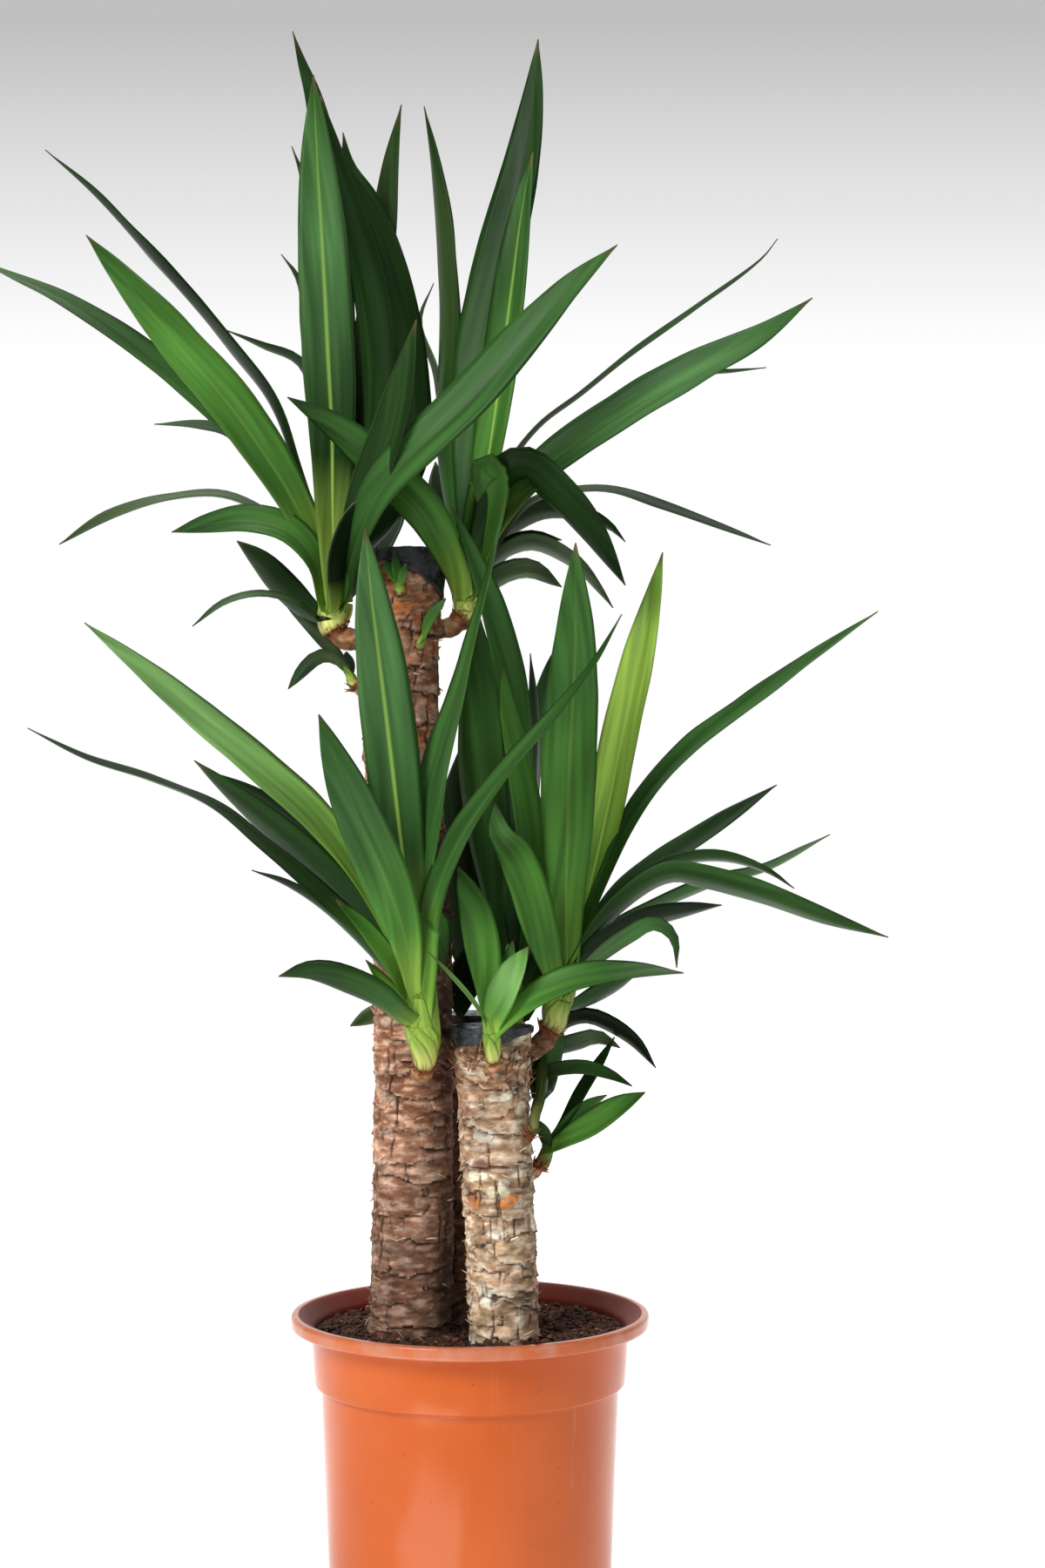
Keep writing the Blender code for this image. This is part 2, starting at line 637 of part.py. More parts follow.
UPPER_RIGHT = Shoot(
    "head_upper_right", TALL,
    [(480, 716, -11), (508, 722, -9), (520, 719, -9), (528, 711, -8)], 6.5,
    [(534, 690, -8), (535, 660, -8), (537, 630, -8), (539, 605, -8)], (6.5, 7, 7, 7, 3), [
        Leaf(36, 28, (538, 650, -6), (540, 520, 2), (548, 420, 6), (568, 320, 8), (594, 220, 8),
             (612, 120, 6), (618, 45, 4)),
        Leaf(32, 40, (540, 650, -10), (562, 520, -12), (575, 430, -14), (588, 330, -14), (600, 240, -12),
             (612, 175, -10)),
        Leaf(26, -55, (534, 640, 0), (520, 600, 20), (507, 500, 28), (512, 400, 28), (510, 300, 26),
             (500, 200, 26), (487, 122, 25)),
        Leaf(13, 60, (534, 650, 0), (512, 520, 44), (500, 430, 48), (481, 370, 48), (498, 325, 46)),
        Leaf(34, 42, (540, 670, -12), (562, 615, -22), (600, 560, -32), (660, 510, -42), (730, 465, -50),
             (800, 425, -56), (880, 382, -60), (933, 342, -62)),
        Leaf(15, (70, 76, 70), (538, 640, 2), (575, 550, 36), (620, 490, 42), (670, 452, 42),
             (720, 412, 42), (800, 354, 40), (875, 297, 40), (893, 274, 40)),
        Leaf(20, -70, (540, 660, 0), (575, 600, 6), (620, 530, 8), (700, 470, 10), (800, 431, 8), (840, 427, 8),
             (880, 422, 6)),
        Leaf(34, -44, (538, 690, -14), (560, 605, -26), (578, 552, -38), (602, 538, -48), (640, 567, -56),
             (680, 612, -60), (718, 672, -64)),
        Leaf(20, (60, 76, 60), (540, 680, -4), (572, 625, 8), (610, 578, 14), (655, 565, 16), (700, 564, 16),
             (760, 583, 14), (830, 607, 12), (885, 626, 10)),
        Leaf(18, -40, (540, 690, -2), (560, 655, 18), (585, 628, 26), (612, 618, 28), (645, 620, 28)),
        Leaf(22, -45, (540, 700, -4), (556, 678, 6), (580, 660, 10), (608, 655, 10), (645, 674, 8)),
        Leaf(24, -60, (540, 695, -2), (566, 645, 16), (610, 625, 20), (655, 645, 20), (690, 680, 18),
             (704, 698, 16)),
        Leaf(22, -50, (540, 680, 0), (570, 620, 36), (620, 588, 42), (664, 590, 42), (700, 605, 42),
             (718, 622, 40)),
        Leaf(28, (20, 10, 0, 20), (540, 680, -12), (556, 590, -30), (562, 552, -44), (558, 538, -58),
             (552, 550, -70), (548, 576, -76), fold=8),
        Leaf(32, (-20, -30, -38), (531, 690, -16), (523, 658, -36), (490, 594, -60), (452, 553, -60),
             (415, 518, -62), (378, 487, -64), (330, 456, -64)),
        Leaf(30, 55, (538, 670, 0), (546, 600, 60), (552, 540, 110), (558, 505, 165)),
        Leaf(34, 40, (532, 695, 2), (520, 640, 46), (508, 580, 80), (500, 530, 105)),
    ])

TWIG = Shoot(
    "twig_left", TALL,
    [(438, 800, -6), (416, 794, 0), (409, 788, 3)], 3.2,
    [(402, 777, 6), (394, 764, 9)], (3, 2.8, 1.6), [
        Leaf(12, 30, (398, 770, 8), (384, 756, 9), (368, 754, 8), (352, 766, 6), (331, 791, 4)),
        Leaf(15, 40, (398, 768, 9), (378, 744, 16), (350, 712, 24), (325, 690, 28)),
        Leaf(9, 30, (402, 774, 9), (400, 760, 16), (398, 748, 24)),
    ])

LOWER_LEFT = Shoot(
    "head_lower_left", TALL,
    [(482, 1236, -22), (485, 1228, -40), (487, 1219, -48)], 7.5,
    [(487, 1192, -57), (484, 1160, -62), (483, 1130, -65), (482, 1105, -67)], (7, 10.5, 10.5, 9, 4), [
        Leaf(37, 15, (482, 1120, -66), (474, 1060, -76), (462, 980, -86), (450, 880, -92), (438, 780, -92),
             (427, 690, -88), (419, 606, -84)),
        Leaf(33, 14, (478, 1150, -70), (466, 1080, -92), (442, 1010, -106), (412, 940, -116),
             (388, 880, -120), (366, 820, -120)),
        Leaf(34, 46, (474, 1130, -56), (430, 1030, -54), (370, 950, -50), (300, 885, -46), (220, 818, -42),
             (150, 758, -40), (97, 715, -38)),
        Leaf(28, (50, 60, 84, 70), (472, 1150, -60), (430, 1085, -72), (370, 1030, -80), (300, 972, -80),
             (240, 925, -76), (172, 896, -70), (100, 872, -64), (32, 836, -58)),
        Leaf(32, -48, (474, 1140, -52), (418, 1058, -40), (350, 985, -32), (285, 928, -26), (223, 873, -22)),
        Leaf(28, -58, (474, 1120, -52), (410, 1015, -38), (345, 950, -22), (290, 912, -14), (245, 887, -10)),
        Leaf(18, -66, (474, 1148, -52), (440, 1110, -38), (380, 1050, -18), (330, 1016, -12), (289, 999, -8)),
        Leaf(24, -42, (480, 1178, -66), (462, 1168, -76), (435, 1144, -80), (398, 1127, -80),
             (355, 1116, -76), (320, 1121, -72)),
        Leaf(16, 50, (476, 1165, -64), (450, 1140, -66), (434, 1120, -64), (420, 1102, -62)),
        Leaf(17, 40, (474, 1150, -62), (445, 1100, -84), (416, 1062, -88), (386, 1033, -88)),
        Leaf(24, 25, (486, 1165, -68), (486, 1110, -80), (488, 1070, -86), (496, 1055, -84), (503, 1078, -76),
             (507, 1118, -70)),
        Leaf(33, (30, 45, 75, 84), (488, 1120, -64), (484, 1010, -80), (500, 900, -88), (528, 800, -88),
             (548, 720, -84), (565, 650, -80), (580, 578, -76)),
        Leaf(30, (38, 45, 66, 74, 76), (490, 1140, -68), (497, 1045, -88), (525, 970, -104), (580, 890, -120),
             (640, 820, -128), (685, 760, -130), (714, 705, -128)),
    ])

LOWER_RIGHT = Shoot(
    "head_lower_right", SHORT,
    [(585, 1212, -33), (614, 1204, -31), (626, 1193, -30), (632, 1182, -30)], 7,
    [(638, 1160, -30), (644, 1138, -30), (650, 1105, -31), (653, 1080, -32)], (7.5, 8.2, 9, 8, 3.5), [
        Leaf(37, 10, (650, 1120, -40), (650, 1040, -58), (652, 950, -74), (655, 860, -84), (661, 733, -92),
             (661, 623, -94)),
        Leaf(32, 36, (654, 1110, -32), (682, 1000, -28), (700, 920, -26), (716, 840, -24), (734, 760, -22),
             (750, 690, -20), (761, 634, -18)),
        Leaf(27, 62, (654, 1110, -38), (690, 1020, -40), (735, 925, -44), (795, 858, -44), (860, 810, -42),
             (930, 757, -40), (1008, 702, -38)),
        Leaf(32, 62, (656, 1120, -24), (700, 1043, -12), (755, 995, -4), (801, 964, 2), (850, 930, 6),
             (892, 901, 10)),
        Leaf(22, -66, (654, 1118, -18), (700, 1070, 10), (750, 1043, 22), (820, 1014, 30), (880, 998, 34),
             (953, 958, 38)),
        Leaf(29, -58, (656, 1118, -38), (700, 1052, -58), (766, 1006, -76), (808, 1010, -86), (870, 1027, -94),
             (950, 1056, -104), (1020, 1076, -112)),
        Leaf(22, -64, (654, 1112, -30), (705, 1040, -28), (770, 994, -32), (830, 986, -38), (880, 1000, -42),
             (912, 1020, -44)),
        Leaf(26, -58, (650, 1132, -38), (690, 1087, -46), (740, 1058, -50), (790, 1046, -52),
             (829, 1039, -54)),
        Leaf(20, (60, 62, 50, 60), (648, 1140, -38), (686, 1102, -62), (722, 1076, -70), (752, 1063, -74),
             (772, 1078, -78), (777, 1111, -82)),
        Leaf(24, -60, (642, 1160, -30), (668, 1152, -26), (700, 1136, -24), (733, 1116, -22)),
        Leaf(27, (25, 20, 20, 45), (640, 1128, -44), (624, 1080, -68), (606, 1020, -80), (590, 982, -84),
             (575, 958, -74), (568, 920, -54)),
        Leaf(26, -40, (648, 1110, -24), (655, 1000, -4), (672, 930, 0), (698, 890, 0), (706, 862, 0)),
        Leaf(32, 60, (648, 1120, -22), (654, 1040, 30), (655, 960, 75), (655, 890, 120)),
        Leaf(30, 70, (648, 1135, -22), (658, 1104, 30), (664, 1088, 80), (668, 1078, 135)),
    ])

FRONT_SHOOT = Shoot(
    "shoot_front", SHORT,
    [(566, 1232, -44), (566, 1225, -59), (566, 1215, -66)], 4.2,
    [(565, 1195, -71), (563, 1170, -74), (561, 1150, -75)], (4.4, 5, 4.8, 2.5), [
        Leaf(25, 20, (561, 1160, -76), (556, 1110, -78), (545, 1050, -76), (526, 995, -72)),
        Leaf(22, 25, (566, 1175, -78), (582, 1132, -90), (596, 1106, -98), (607, 1087, -102)),
        Leaf(14, 30, (566, 1165, -72), (574, 1135, -72), (583, 1108, -70), (589, 1080, -66)),
        Leaf(24, (20, 40, 60), (568, 1185, -76), (610, 1147, -92), (660, 1124, -100), (720, 1116, -106),
             (785, 1117, -110)),
        Leaf(6, 58, (557, 1172, -78), (540, 1146, -86), (516, 1118, -92), (492, 1093, -96)),
    ])

BACK_HEAD = Shoot(
    "head_back", BACK,
    [(552, 1222, 36), (572, 1212, 22), (581, 1196, 16)], 7.2,
    [(587, 1160, 12), (591, 1120, 10), (594, 1085, 8), (597, 1060, 6)], (8.5, 9, 9, 8, 3.5), [
        Leaf(28, 40, (596, 1100, 4), (597, 980, -4), (593, 870, -18), (583, 775, -34), (563, 695, -44),
             (543, 638, -50), (518, 580, -52)),
        Leaf(28, 45, (600, 1100, 0), (610, 1010, -28), (603, 935, -46), (592, 870, -56), (581, 810, -60),
             (577, 763, -62)),
        Leaf(18, -50, (598, 1100, 10), (612, 900, 12), (613, 800, 14), (609, 750, 15)),
        Leaf(26, -50, (600, 1100, 12), (606, 950, 24), (618, 840, 30), (632, 770, 32), (644, 733, 32)),
        Leaf(30, -20, (598, 1110, 4), (602, 1020, -10), (608, 960, -18), (622, 918, -24)),
        Leaf(38, -20, (590, 1110, 6), (571, 1010, 3), (559, 930, 0), (552, 860, -2), (550, 780, -4),
             (551, 708, -4)),
        Leaf(28, 20, (586, 1150, 10), (566, 1116, 12), (547, 1108, 16), (533, 1132, 18), (528, 1172, 18)),
        Leaf(42, -25, (584, 1150, 16), (552, 1118, 32), (533, 1060, 44), (528, 990, 50), (527, 920, 54),
             (532, 850, 58)),
        Leaf(32, 60, (588, 1110, 16), (584, 1010, 65), (580, 930, 100), (576, 870, 135)),
        Leaf(30, 50, (594, 1140, 16), (614, 1104, 34), (632, 1050, 64), (640, 990, 96), (640, 930, 125)),
        Leaf(28, 75, (588, 1140, 18), (592, 1122, 80), (590, 1124, 130), (586, 1140, 180)),
    ])

SIDE_SHOOT_LOW = Shoot(
    "shoot_side_low", SHORT,
    [(592, 1352, -26), (613, 1347, -18), (620, 1338, -15)], 4.0,
    [(627, 1322, -13), (632, 1306, -12)], (4, 4, 2.2), [
        Leaf(12, 40, (630, 1314, -12), (648, 1290, -2), (670, 1250, 8), (690, 1218, 12), (706, 1190, 14)),
        Leaf(22, 40, (630, 1320, -14), (650, 1308, -20), (676, 1293, -24), (710, 1272, -28), (741, 1254, -30)),
        Leaf(14, -40, (630, 1316, -10), (652, 1292, -2), (676, 1270, 4), (697, 1257, 8)),
        Leaf(10, -30, (628, 1320, -14), (624, 1300, -18), (620, 1287, -20)),
    ])

SIDE_SHOOT_HIGH = Shoot(
    "shoot_side_high", SHORT,
    [(590, 1312, -34), (605, 1309, -48), (611, 1301, -51)], 2.8,
    [(614, 1284, -48), (620, 1257, -24), (622, 1228, -4), (626, 1205, 4)], (2.8, 2.8, 3, 4, 2.4), [
        Leaf(26, -20, (622, 1236, 2), (626, 1215, 2), (634, 1192, 2), (644, 1166, 4)),
        Leaf(18, -50, (626, 1205, 4), (645, 1178, 4), (672, 1169, 2), (700, 1178, 0), (728, 1196, -2),
             (753, 1226, -4)),
        Leaf(16, -40, (624, 1215, 6), (642, 1203, 14), (662, 1198, 18), (685, 1192, 20), (712, 1203, 22)),
        Leaf(13, 40, (622, 1236, 0), (640, 1228, -8), (670, 1226, -12), (700, 1234, -14), (726, 1247, -16)),
    ])

BEHIND_SHOOT = Shoot(
    "shoot_behind", TALL,
    [(478, 1206, 6), (478, 1198, 19), (479, 1188, 26)], 4.5,
    [(478, 1170, 29), (476, 1150, 30)], (5, 4.5, 2.4), [
        Leaf(18, -45, (472, 1172, 28), (450, 1162, 26), (425, 1168, 24), (402, 1178, 22)),
        Leaf(26, 60, (478, 1165, 32), (476, 1120, 60), (474, 1070, 85), (472, 1030, 105)),
        Leaf(24, 60, (480, 1165, 32), (492, 1130, 54), (500, 1100, 80), (506, 1080, 110)),
        Leaf(22, 70, (474, 1165, 32), (464, 1140, 60), (458, 1130, 85), (454, 1134, 110)),
    ])

SPROUT = Shoot(
    "sprout_top", TALL,
    [(459, 692, -28), (459, 686, -37), (459, 680, -40)], 2.2,
    [(458, 673, -42), (457, 665, -43)], (2.6, 2.4, 1.4), [
        Leaf(8, 30, (457, 670, -43), (449, 656, -46), (440, 643, -48)),
        Leaf(8, 40, (457, 667, -43), (454, 650, -47), (452, 633, -49)),
        Leaf(7, 30, (459, 670, -44), (463, 660, -50), (466, 647, -53)),
    ])

SPROUT_SIDE = Shoot(
    "sprout_side", TALL,
    [(480, 752, -28), (481, 747, -36), (482, 742, -39)], 2.0,
    [(484, 735, -41), (487, 727, -43)], (2.4, 2.2, 1.3), [
        Leaf(9, 35, (486, 732, -42), (492, 714, -46), (501, 700, -47), (512, 687, -46)),
    ])

CANES = [TALL, SHORT, BACK]
SHOOTS = [UPPER_LEFT, UPPER_RIGHT, TWIG, LOWER_LEFT, LOWER_RIGHT, FRONT_SHOOT, BACK_HEAD,
          SIDE_SHOOT_LOW, SIDE_SHOOT_HIGH, BEHIND_SHOOT, SPROUT, SPROUT_SIDE]


def main():
    make_pot()
    make_soil(CANES)
    for cane in CANES:
        necks = [shoot.make_neck() for shoot in SHOOTS if shoot.cane is cane]
        fuse(make_stem(cane), necks)
    make_wax("wax_tall", TALL, tall_wax_edge)
    make_wax("wax_short", SHORT, short_wax_edge)
    make_wax("wax_back", BACK, back_wax_edge)
    for shoot in SHOOTS:
        shoot.plant()
        shoot.make()


main()
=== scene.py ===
import itertools
import math

import bpy
import numpy as np
from mathutils import Matrix, Vector


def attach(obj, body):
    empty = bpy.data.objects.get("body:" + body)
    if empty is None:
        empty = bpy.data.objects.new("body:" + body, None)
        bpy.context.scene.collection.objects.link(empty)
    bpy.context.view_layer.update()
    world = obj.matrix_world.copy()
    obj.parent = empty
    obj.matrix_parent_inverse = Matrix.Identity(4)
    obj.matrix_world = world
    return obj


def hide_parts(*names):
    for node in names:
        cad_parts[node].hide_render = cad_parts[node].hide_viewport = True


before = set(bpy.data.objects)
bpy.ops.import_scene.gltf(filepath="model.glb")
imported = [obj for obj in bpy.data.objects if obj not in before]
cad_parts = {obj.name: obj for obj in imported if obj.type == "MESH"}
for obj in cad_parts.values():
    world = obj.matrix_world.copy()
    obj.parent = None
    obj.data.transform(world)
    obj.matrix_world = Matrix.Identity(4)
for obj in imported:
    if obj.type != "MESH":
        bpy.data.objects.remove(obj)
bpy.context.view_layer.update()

# Potted yucca, dressed. Metres, +Z up, the front faces -Y. The sizes repeat the part's own.

MM = 0.001
GAP = 0.3 * MM

# Pot, soil and the canes' feet
POT_HEIGHT = 225 * MM
LIP_RADIUS = 120 * MM
LIP_HEIGHT = 9 * MM
LIP_TOP_WIDTH = 7 * MM
UNDER_LIP = POT_HEIGHT - LIP_HEIGHT
BAND_TOP_RADIUS = 106.5 * MM
BAND_LOW_RADIUS = 104 * MM
BAND_LOW_Z = 178 * MM
BODY_TOP_RADIUS = 99.7 * MM
BASE_RADIUS = 92.5 * MM
WALL = 2.2 * MM
SOIL_TOP = 213 * MM
SOIL_LUMP = 2.2 * MM
CANE_FOOT = 95 * MM

# The view that the plant was read in: level, straight along +Y, in a frame 1200 wide and 1800 high
VIEW_X = 35.1 * MM
VIEW_Z = 579 * MM
VIEW_DISTANCE = 1806 * MM
FOCAL_PX = 3087.0
CENTRE_PX = 600.0
HORIZON_PX = 900.0
FRAME_HEIGHT_PX = 1800.0
SENSOR_MM = 36.0


# Numbers and places

def at_pixel(px, py, depth):
    """The place seen at a picture point, at a depth in mm behind the pot's axis."""
    reach = (VIEW_DISTANCE + depth * MM) / FOCAL_PX
    return Vector((VIEW_X + (px - CENTRE_PX) * reach, depth * MM, VIEW_Z - (py - HORIZON_PX) * reach))


def linear(colour):
    """A screen colour, 0 to 255, as the renderer's linear one."""
    share = np.asarray(colour, float) / 255
    return np.where(share < 0.04045, share / 12.92, ((share + 0.055) / 1.055) ** 2.4)


def stacked(*values):
    """Arrays and numbers, spread to one shape, as the last axis of one array."""
    return np.stack(np.broadcast_arrays(*values), axis=-1)


def rows_at(wanted, stops, rows):
    """Rows of numbers, such as places or colours, between those given at the stops."""
    return stacked(*(np.interp(wanted, stops, column) for column in np.transpose(rows)))


def ring_points(x, y, reach, angle, height):
    """Points at a reach and an angle round an upright line, at a height."""
    return stacked(x + reach * np.cos(angle), y + reach * np.sin(angle), height)


def full_turn(count):
    """Angles evenly spaced once round."""
    return np.linspace(0, math.tau, count, endpoint=False)


def unit(vectors):
    """The vectors at a length of one."""
    return vectors / np.linalg.norm(vectors, axis=-1, keepdims=True)


def towards(tint, target, share, most=1.0):
    """The tint, taken towards another where a share, held from 0 to 1, is high."""
    return tint + (target - tint) * np.clip(share, 0, 1)[..., None] * most


# Noise

CELL_STEPS = (374761393, 668265263, 1442695041)
SEED_STEP = 97471
STIR = 1274126177
LOW_32_BITS = 0xFFFFFFFF
LOW_16_BITS = 0xFFFF


def lattice(cells, seed):
    """A fixed draw between 0 and 1 for each whole-number cell."""
    mixed = sum(cells[..., axis] * step for axis, step in enumerate(CELL_STEPS))
    mixed = (mixed + seed * SEED_STEP) & LOW_32_BITS
    mixed = ((mixed ^ (mixed >> 13)) * STIR) & LOW_32_BITS
    return ((mixed ^ (mixed >> 16)) & LOW_16_BITS) / LOW_16_BITS


def noise(points, size, seed=0):
    """Smooth noise from -1 to 1 over points, with cells of a size, or of one size along each axis."""
    scaled = np.asarray(points, float) / size
    cells = np.floor(scaled).astype(np.int64)
    share = scaled - cells
    share = share * share * (3 - 2 * share)
    total = 0
    for corner in itertools.product((0, 1), repeat=3):
        weight = np.prod(np.where(corner, share, 1 - share), axis=-1)
        total = total + weight * lattice(cells + corner, seed)
    return total * 2 - 1


def fractal(points, size, octaves, seed=0):
    """Noise in octaves, each half as large and half as strong as the one before."""
    return sum(0.5 ** step * noise(points, size * 0.5 ** step, seed + step) for step in range(octaves))


# Objects and meshes

def add_object(name, data):
    """A new object in the scene."""
    made = bpy.data.objects.new(name, data)
    bpy.context.scene.collection.objects.link(made)
    return made


class Skin:
    """Points, faces and painted layers, gathered piece by piece into one mesh."""

    def __init__(self, *layers):
        self.points = []
        self.faces = []
        self.layers = {layer: [] for layer in layers}
        self.count = 0

    def add(self, points, faces, **layers):
        """Add a body: its points, its faces, and for each layer what spreads over the points."""
        for layer, values in self.layers.items():
            values.append(np.broadcast_to(layers[layer], points.shape).reshape(-1, 3))
        self.points.append(points.reshape(-1, 3))
        self.faces += [tuple(corner + self.count for corner in face) for face in faces]
        self.count += len(self.points[-1])

    def add_tube(self, rings, **layers):
        """Add a closed tube: its rings joined round, and a face on each end."""
        rows, columns = rings.shape[:2]
        count = rows * columns
        low, column = np.meshgrid(np.arange(0, count - columns, columns), np.arange(columns), indexing="ij")
        after = (column + 1) % columns
        high = low + columns
        sides = np.stack([low + column, low + after, high + after, high + column], axis=-1)
        ends = [list(range(columns))[::-1], list(range(count - columns, count))]
        self.add(rings, sides.reshape(-1, 4).tolist() + ends, **layers)

    def piece(self, name, node, slot, finish):
        """The gathered mesh as a piece of the part that stands for a CAD node."""
        mesh = bpy.data.meshes.new(name)
        mesh.from_pydata(np.concatenate(self.points).tolist(), [], self.faces)
        for layer, values in self.layers.items():
            values = np.concatenate(values)
            if layer == "tint":
                made = mesh.attributes.new(layer, "FLOAT_COLOR", "POINT")
                made.data.foreach_set("color", np.insert(values, 3, 1.0, axis=1).ravel())
            else:
                made = mesh.attributes.new(layer, "FLOAT_VECTOR", "POINT")
                made.data.foreach_set("vector", values.ravel())
        mesh.shade_smooth()
        mesh.materials.append(finish)
        made = add_object(name, mesh)
        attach(made, "root")
        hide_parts(node)
        return made


# Paths and tubes

PATH_STEPS = 24


def smooth_path(points, count):
    """Places evenly spaced along a smooth curve through the points, and the curve's length."""
    known = np.array([tuple(point) for point in points])
    gaps = np.linalg.norm(np.diff(known, axis=0), axis=1)
    knots = np.concatenate(([0], np.cumsum(np.sqrt(gaps))))
    slopes = np.gradient(known, knots, axis=0)
    start = np.repeat(np.arange(len(gaps)), PATH_STEPS)
    share = np.tile(np.linspace(0, 1, PATH_STEPS, endpoint=False), len(gaps))[:, None]
    span = np.diff(knots)[start, None]
    square, cube = share ** 2, share ** 3
    fine = (2 * cube - 3 * square + 1) * known[start] + (3 * square - 2 * cube) * known[start + 1]
    fine += (cube - 2 * square + share) * span * slopes[start] + (cube - square) * span * slopes[start + 1]
    fine = np.vstack([fine, known[-1]])
    along = np.concatenate(([0], np.cumsum(np.linalg.norm(np.diff(fine, axis=0), axis=1))))
    return rows_at(np.linspace(0, along[-1], count), along, fine), float(along[-1])


class Tube:
    """A round stem along a smooth path, with a radius at each of its rows."""

    def __init__(self, points, rows, radii):
        self.path, _ = smooth_path(points, rows)
        self.radii = np.broadcast_to(radii, rows)
        ahead = unit(np.gradient(self.path, axis=0))
        turns = np.array([Vector(way).to_track_quat("Z", "X").to_matrix() for way in ahead])
        self.one = turns[:, :, 0]
        self.two = turns[:, :, 1]

    def surface(self, rows, angles, stand=0.0):
        """Points round the stem at rows and angles, standing off its skin."""
        turn = angles[..., None]
        out = self.one[rows, None] * np.cos(turn) + self.two[rows, None] * np.sin(turn)
        return self.path[rows, None] + out * (self.radii[rows, None] + stand)[..., None]


# Leaves

BASE_SHARE = 0.46
WIDEST_AT = 0.5
TIP_POWER = 2.6
TIP_WIDTH = 0.9 * MM
ROOT_DEPTH = 8 * MM
CORE_STRAIGHT = 0.7
ROW_STEP = 6 * MM
LEAST_ROWS = 10
BLADE_COLUMNS = 9
BLADE_THICK = 0.7 * MM
BLADE_CURVE = 1.35
CLASP_UNTIL = 0.13
CLASP_FOLD = math.radians(52)
PROBE_HALF = 12 * MM
RIPPLE = 1.1 * MM
RIPPLE_LENGTH = 34 * MM
RIPPLE_FULL_HALF = 9 * MM
EDGE_WAVE = 0.02
EDGE_WAVE_LENGTH = 16 * MM
TONE_WANDER = 0.16
TONE_LENGTH = 60 * MM
DRY_FROM = 0.965
DRY_OVER = 0.03
RIB_FADE = 1.15
VEIN_WIDTH = 20 * MM
VEIN_SHIFT = 0.731

# Screen colours, by letter, for painting along a leaf from base to tip. They are the leaves' own greens, and
# with them painted shade and painted light.
TONES = {
    "K": (20, 37, 16), "D": (34, 62, 25), "M": (54, 94, 41), "B": (77, 129, 50), "L": (110, 156, 58),
    "Y": (160, 196, 80), "G": (88, 108, 76), "U": (74, 116, 64), "O": (62, 84, 44), "N": (92, 76, 48),
    "S": (122, 168, 96),
}
TONE_AT = (0.03, 0.3, 0.68, 1.0)
DRY_TIP = linear(TONES["N"])


def leaf_colour(paint, share):
    """A leaf's painted colour at shares of the way from its base to its tip."""
    return rows_at(share, TONE_AT, [linear(TONES[letter]) for letter in paint[:4]])


class Leaf:
    """A strap leaf: widest width in mm, turn or turns from the viewer in degrees, and picture points
    with a depth along its spine. Then its fold in degrees, and how wide its base is, as a share."""

    def __init__(self, width, turn, *points, fold=12, base=BASE_SHARE):
        self.width = width * MM
        self.turns = turn if isinstance(turn, tuple) else (turn,)
        self.points = [at_pixel(*point) for point in points]
        self.fold = math.radians(fold if self.turns[0] >= 0 else -fold)
        self.base = base

    def frames(self, rows):
        """Each row's place, its side direction and the normal of the face that shows."""
        places, _ = smooth_path(self.points, rows)
        lean = 1 if self.points[-1].x < self.points[0].x else -1
        ahead = unit(np.gradient(places, axis=0))
        look = np.array((VIEW_X, -VIEW_DISTANCE, VIEW_Z)) - places
        facing = unit(look - ahead * np.sum(look * ahead, axis=1, keepdims=True))
        upward = np.cross(ahead, facing) * lean
        stops = np.linspace(0, 1, len(self.turns))
        turns = np.radians(np.interp(np.linspace(0, 1, rows), stops, self.turns))[:, None]
        normal = facing * np.cos(turns) + upward * np.sin(turns)
        return places[:, None], np.cross(normal, ahead)[:, None], normal[:, None]

    def widths(self, share):
        """The width along the leaf: clasping base, widest middle, long sharp tip."""
        rise = np.minimum(share / WIDEST_AT, 1)
        fall = np.maximum(share - WIDEST_AT, 0) / (1 - WIDEST_AT)
        wide = (self.base + (1 - self.base) * rise * rise * (3 - 2 * rise)) * (1 - fall ** TIP_POWER)
        return np.maximum(TIP_WIDTH, self.width * wide)

    def build(self, skin, paint, seed):
        """Add the blade: a closed lens section that curves across and clasps at the base."""
        _, length = smooth_path(self.points, 2)
        rows = max(LEAST_ROWS, int(length / ROW_STEP))
        places, across, normal = self.frames(rows)
        share = np.linspace(0, 1, rows)[:, None]
        half = self.widths(share) / 2
        top = np.linspace(-1, 1, BLADE_COLUMNS)
        side = np.concatenate([top[::-1], top[1:-1]])
        face = np.repeat((1, -1), (BLADE_COLUMNS, BLADE_COLUMNS - 2))
        clasp = np.clip(1 - share / CLASP_UNTIL, 0, 1) ** 2
        fold = self.fold + np.sign(self.fold) * clasp * (CLASP_FOLD - abs(self.fold))
        probe = places + side[:, None] * PROBE_HALF
        ripple = RIPPLE * noise(probe, RIPPLE_LENGTH, seed) * side ** 2
        ripple = ripple * np.minimum(1, half / RIPPLE_FULL_HALF)
        wide = half * (1 + EDGE_WAVE * noise(probe, EDGE_WAVE_LENGTH, seed + 7) * np.abs(side) ** 3)
        lift = wide * np.sin(fold) * np.abs(side) ** BLADE_CURVE + ripple
        lift = lift + face * BLADE_THICK * np.sqrt(1 - side ** 2) / 2
        points = places + across * (wide * np.cos(fold) * side)[..., None] + normal * lift[..., None]
        wander = fractal(points, TONE_LENGTH, 2, seed + 3)
        tint = leaf_colour(paint, share) * (1 + TONE_WANDER * wander)[..., None]
        tint = towards(tint, DRY_TIP, (share - DRY_FROM) / DRY_OVER + 0.5 * wander)
        ribs, rims = ((int(digit) / 9) ** 2 for digit in paint[4:])
        skin.add_tube(points, tint=tint, blade=stacked(side * 0.5 + 0.5, share * length, seed * VEIN_SHIFT),
                      marks=stacked(ribs * np.clip(RIB_FADE - share, 0, 1), rims, half / VEIN_WIDTH))


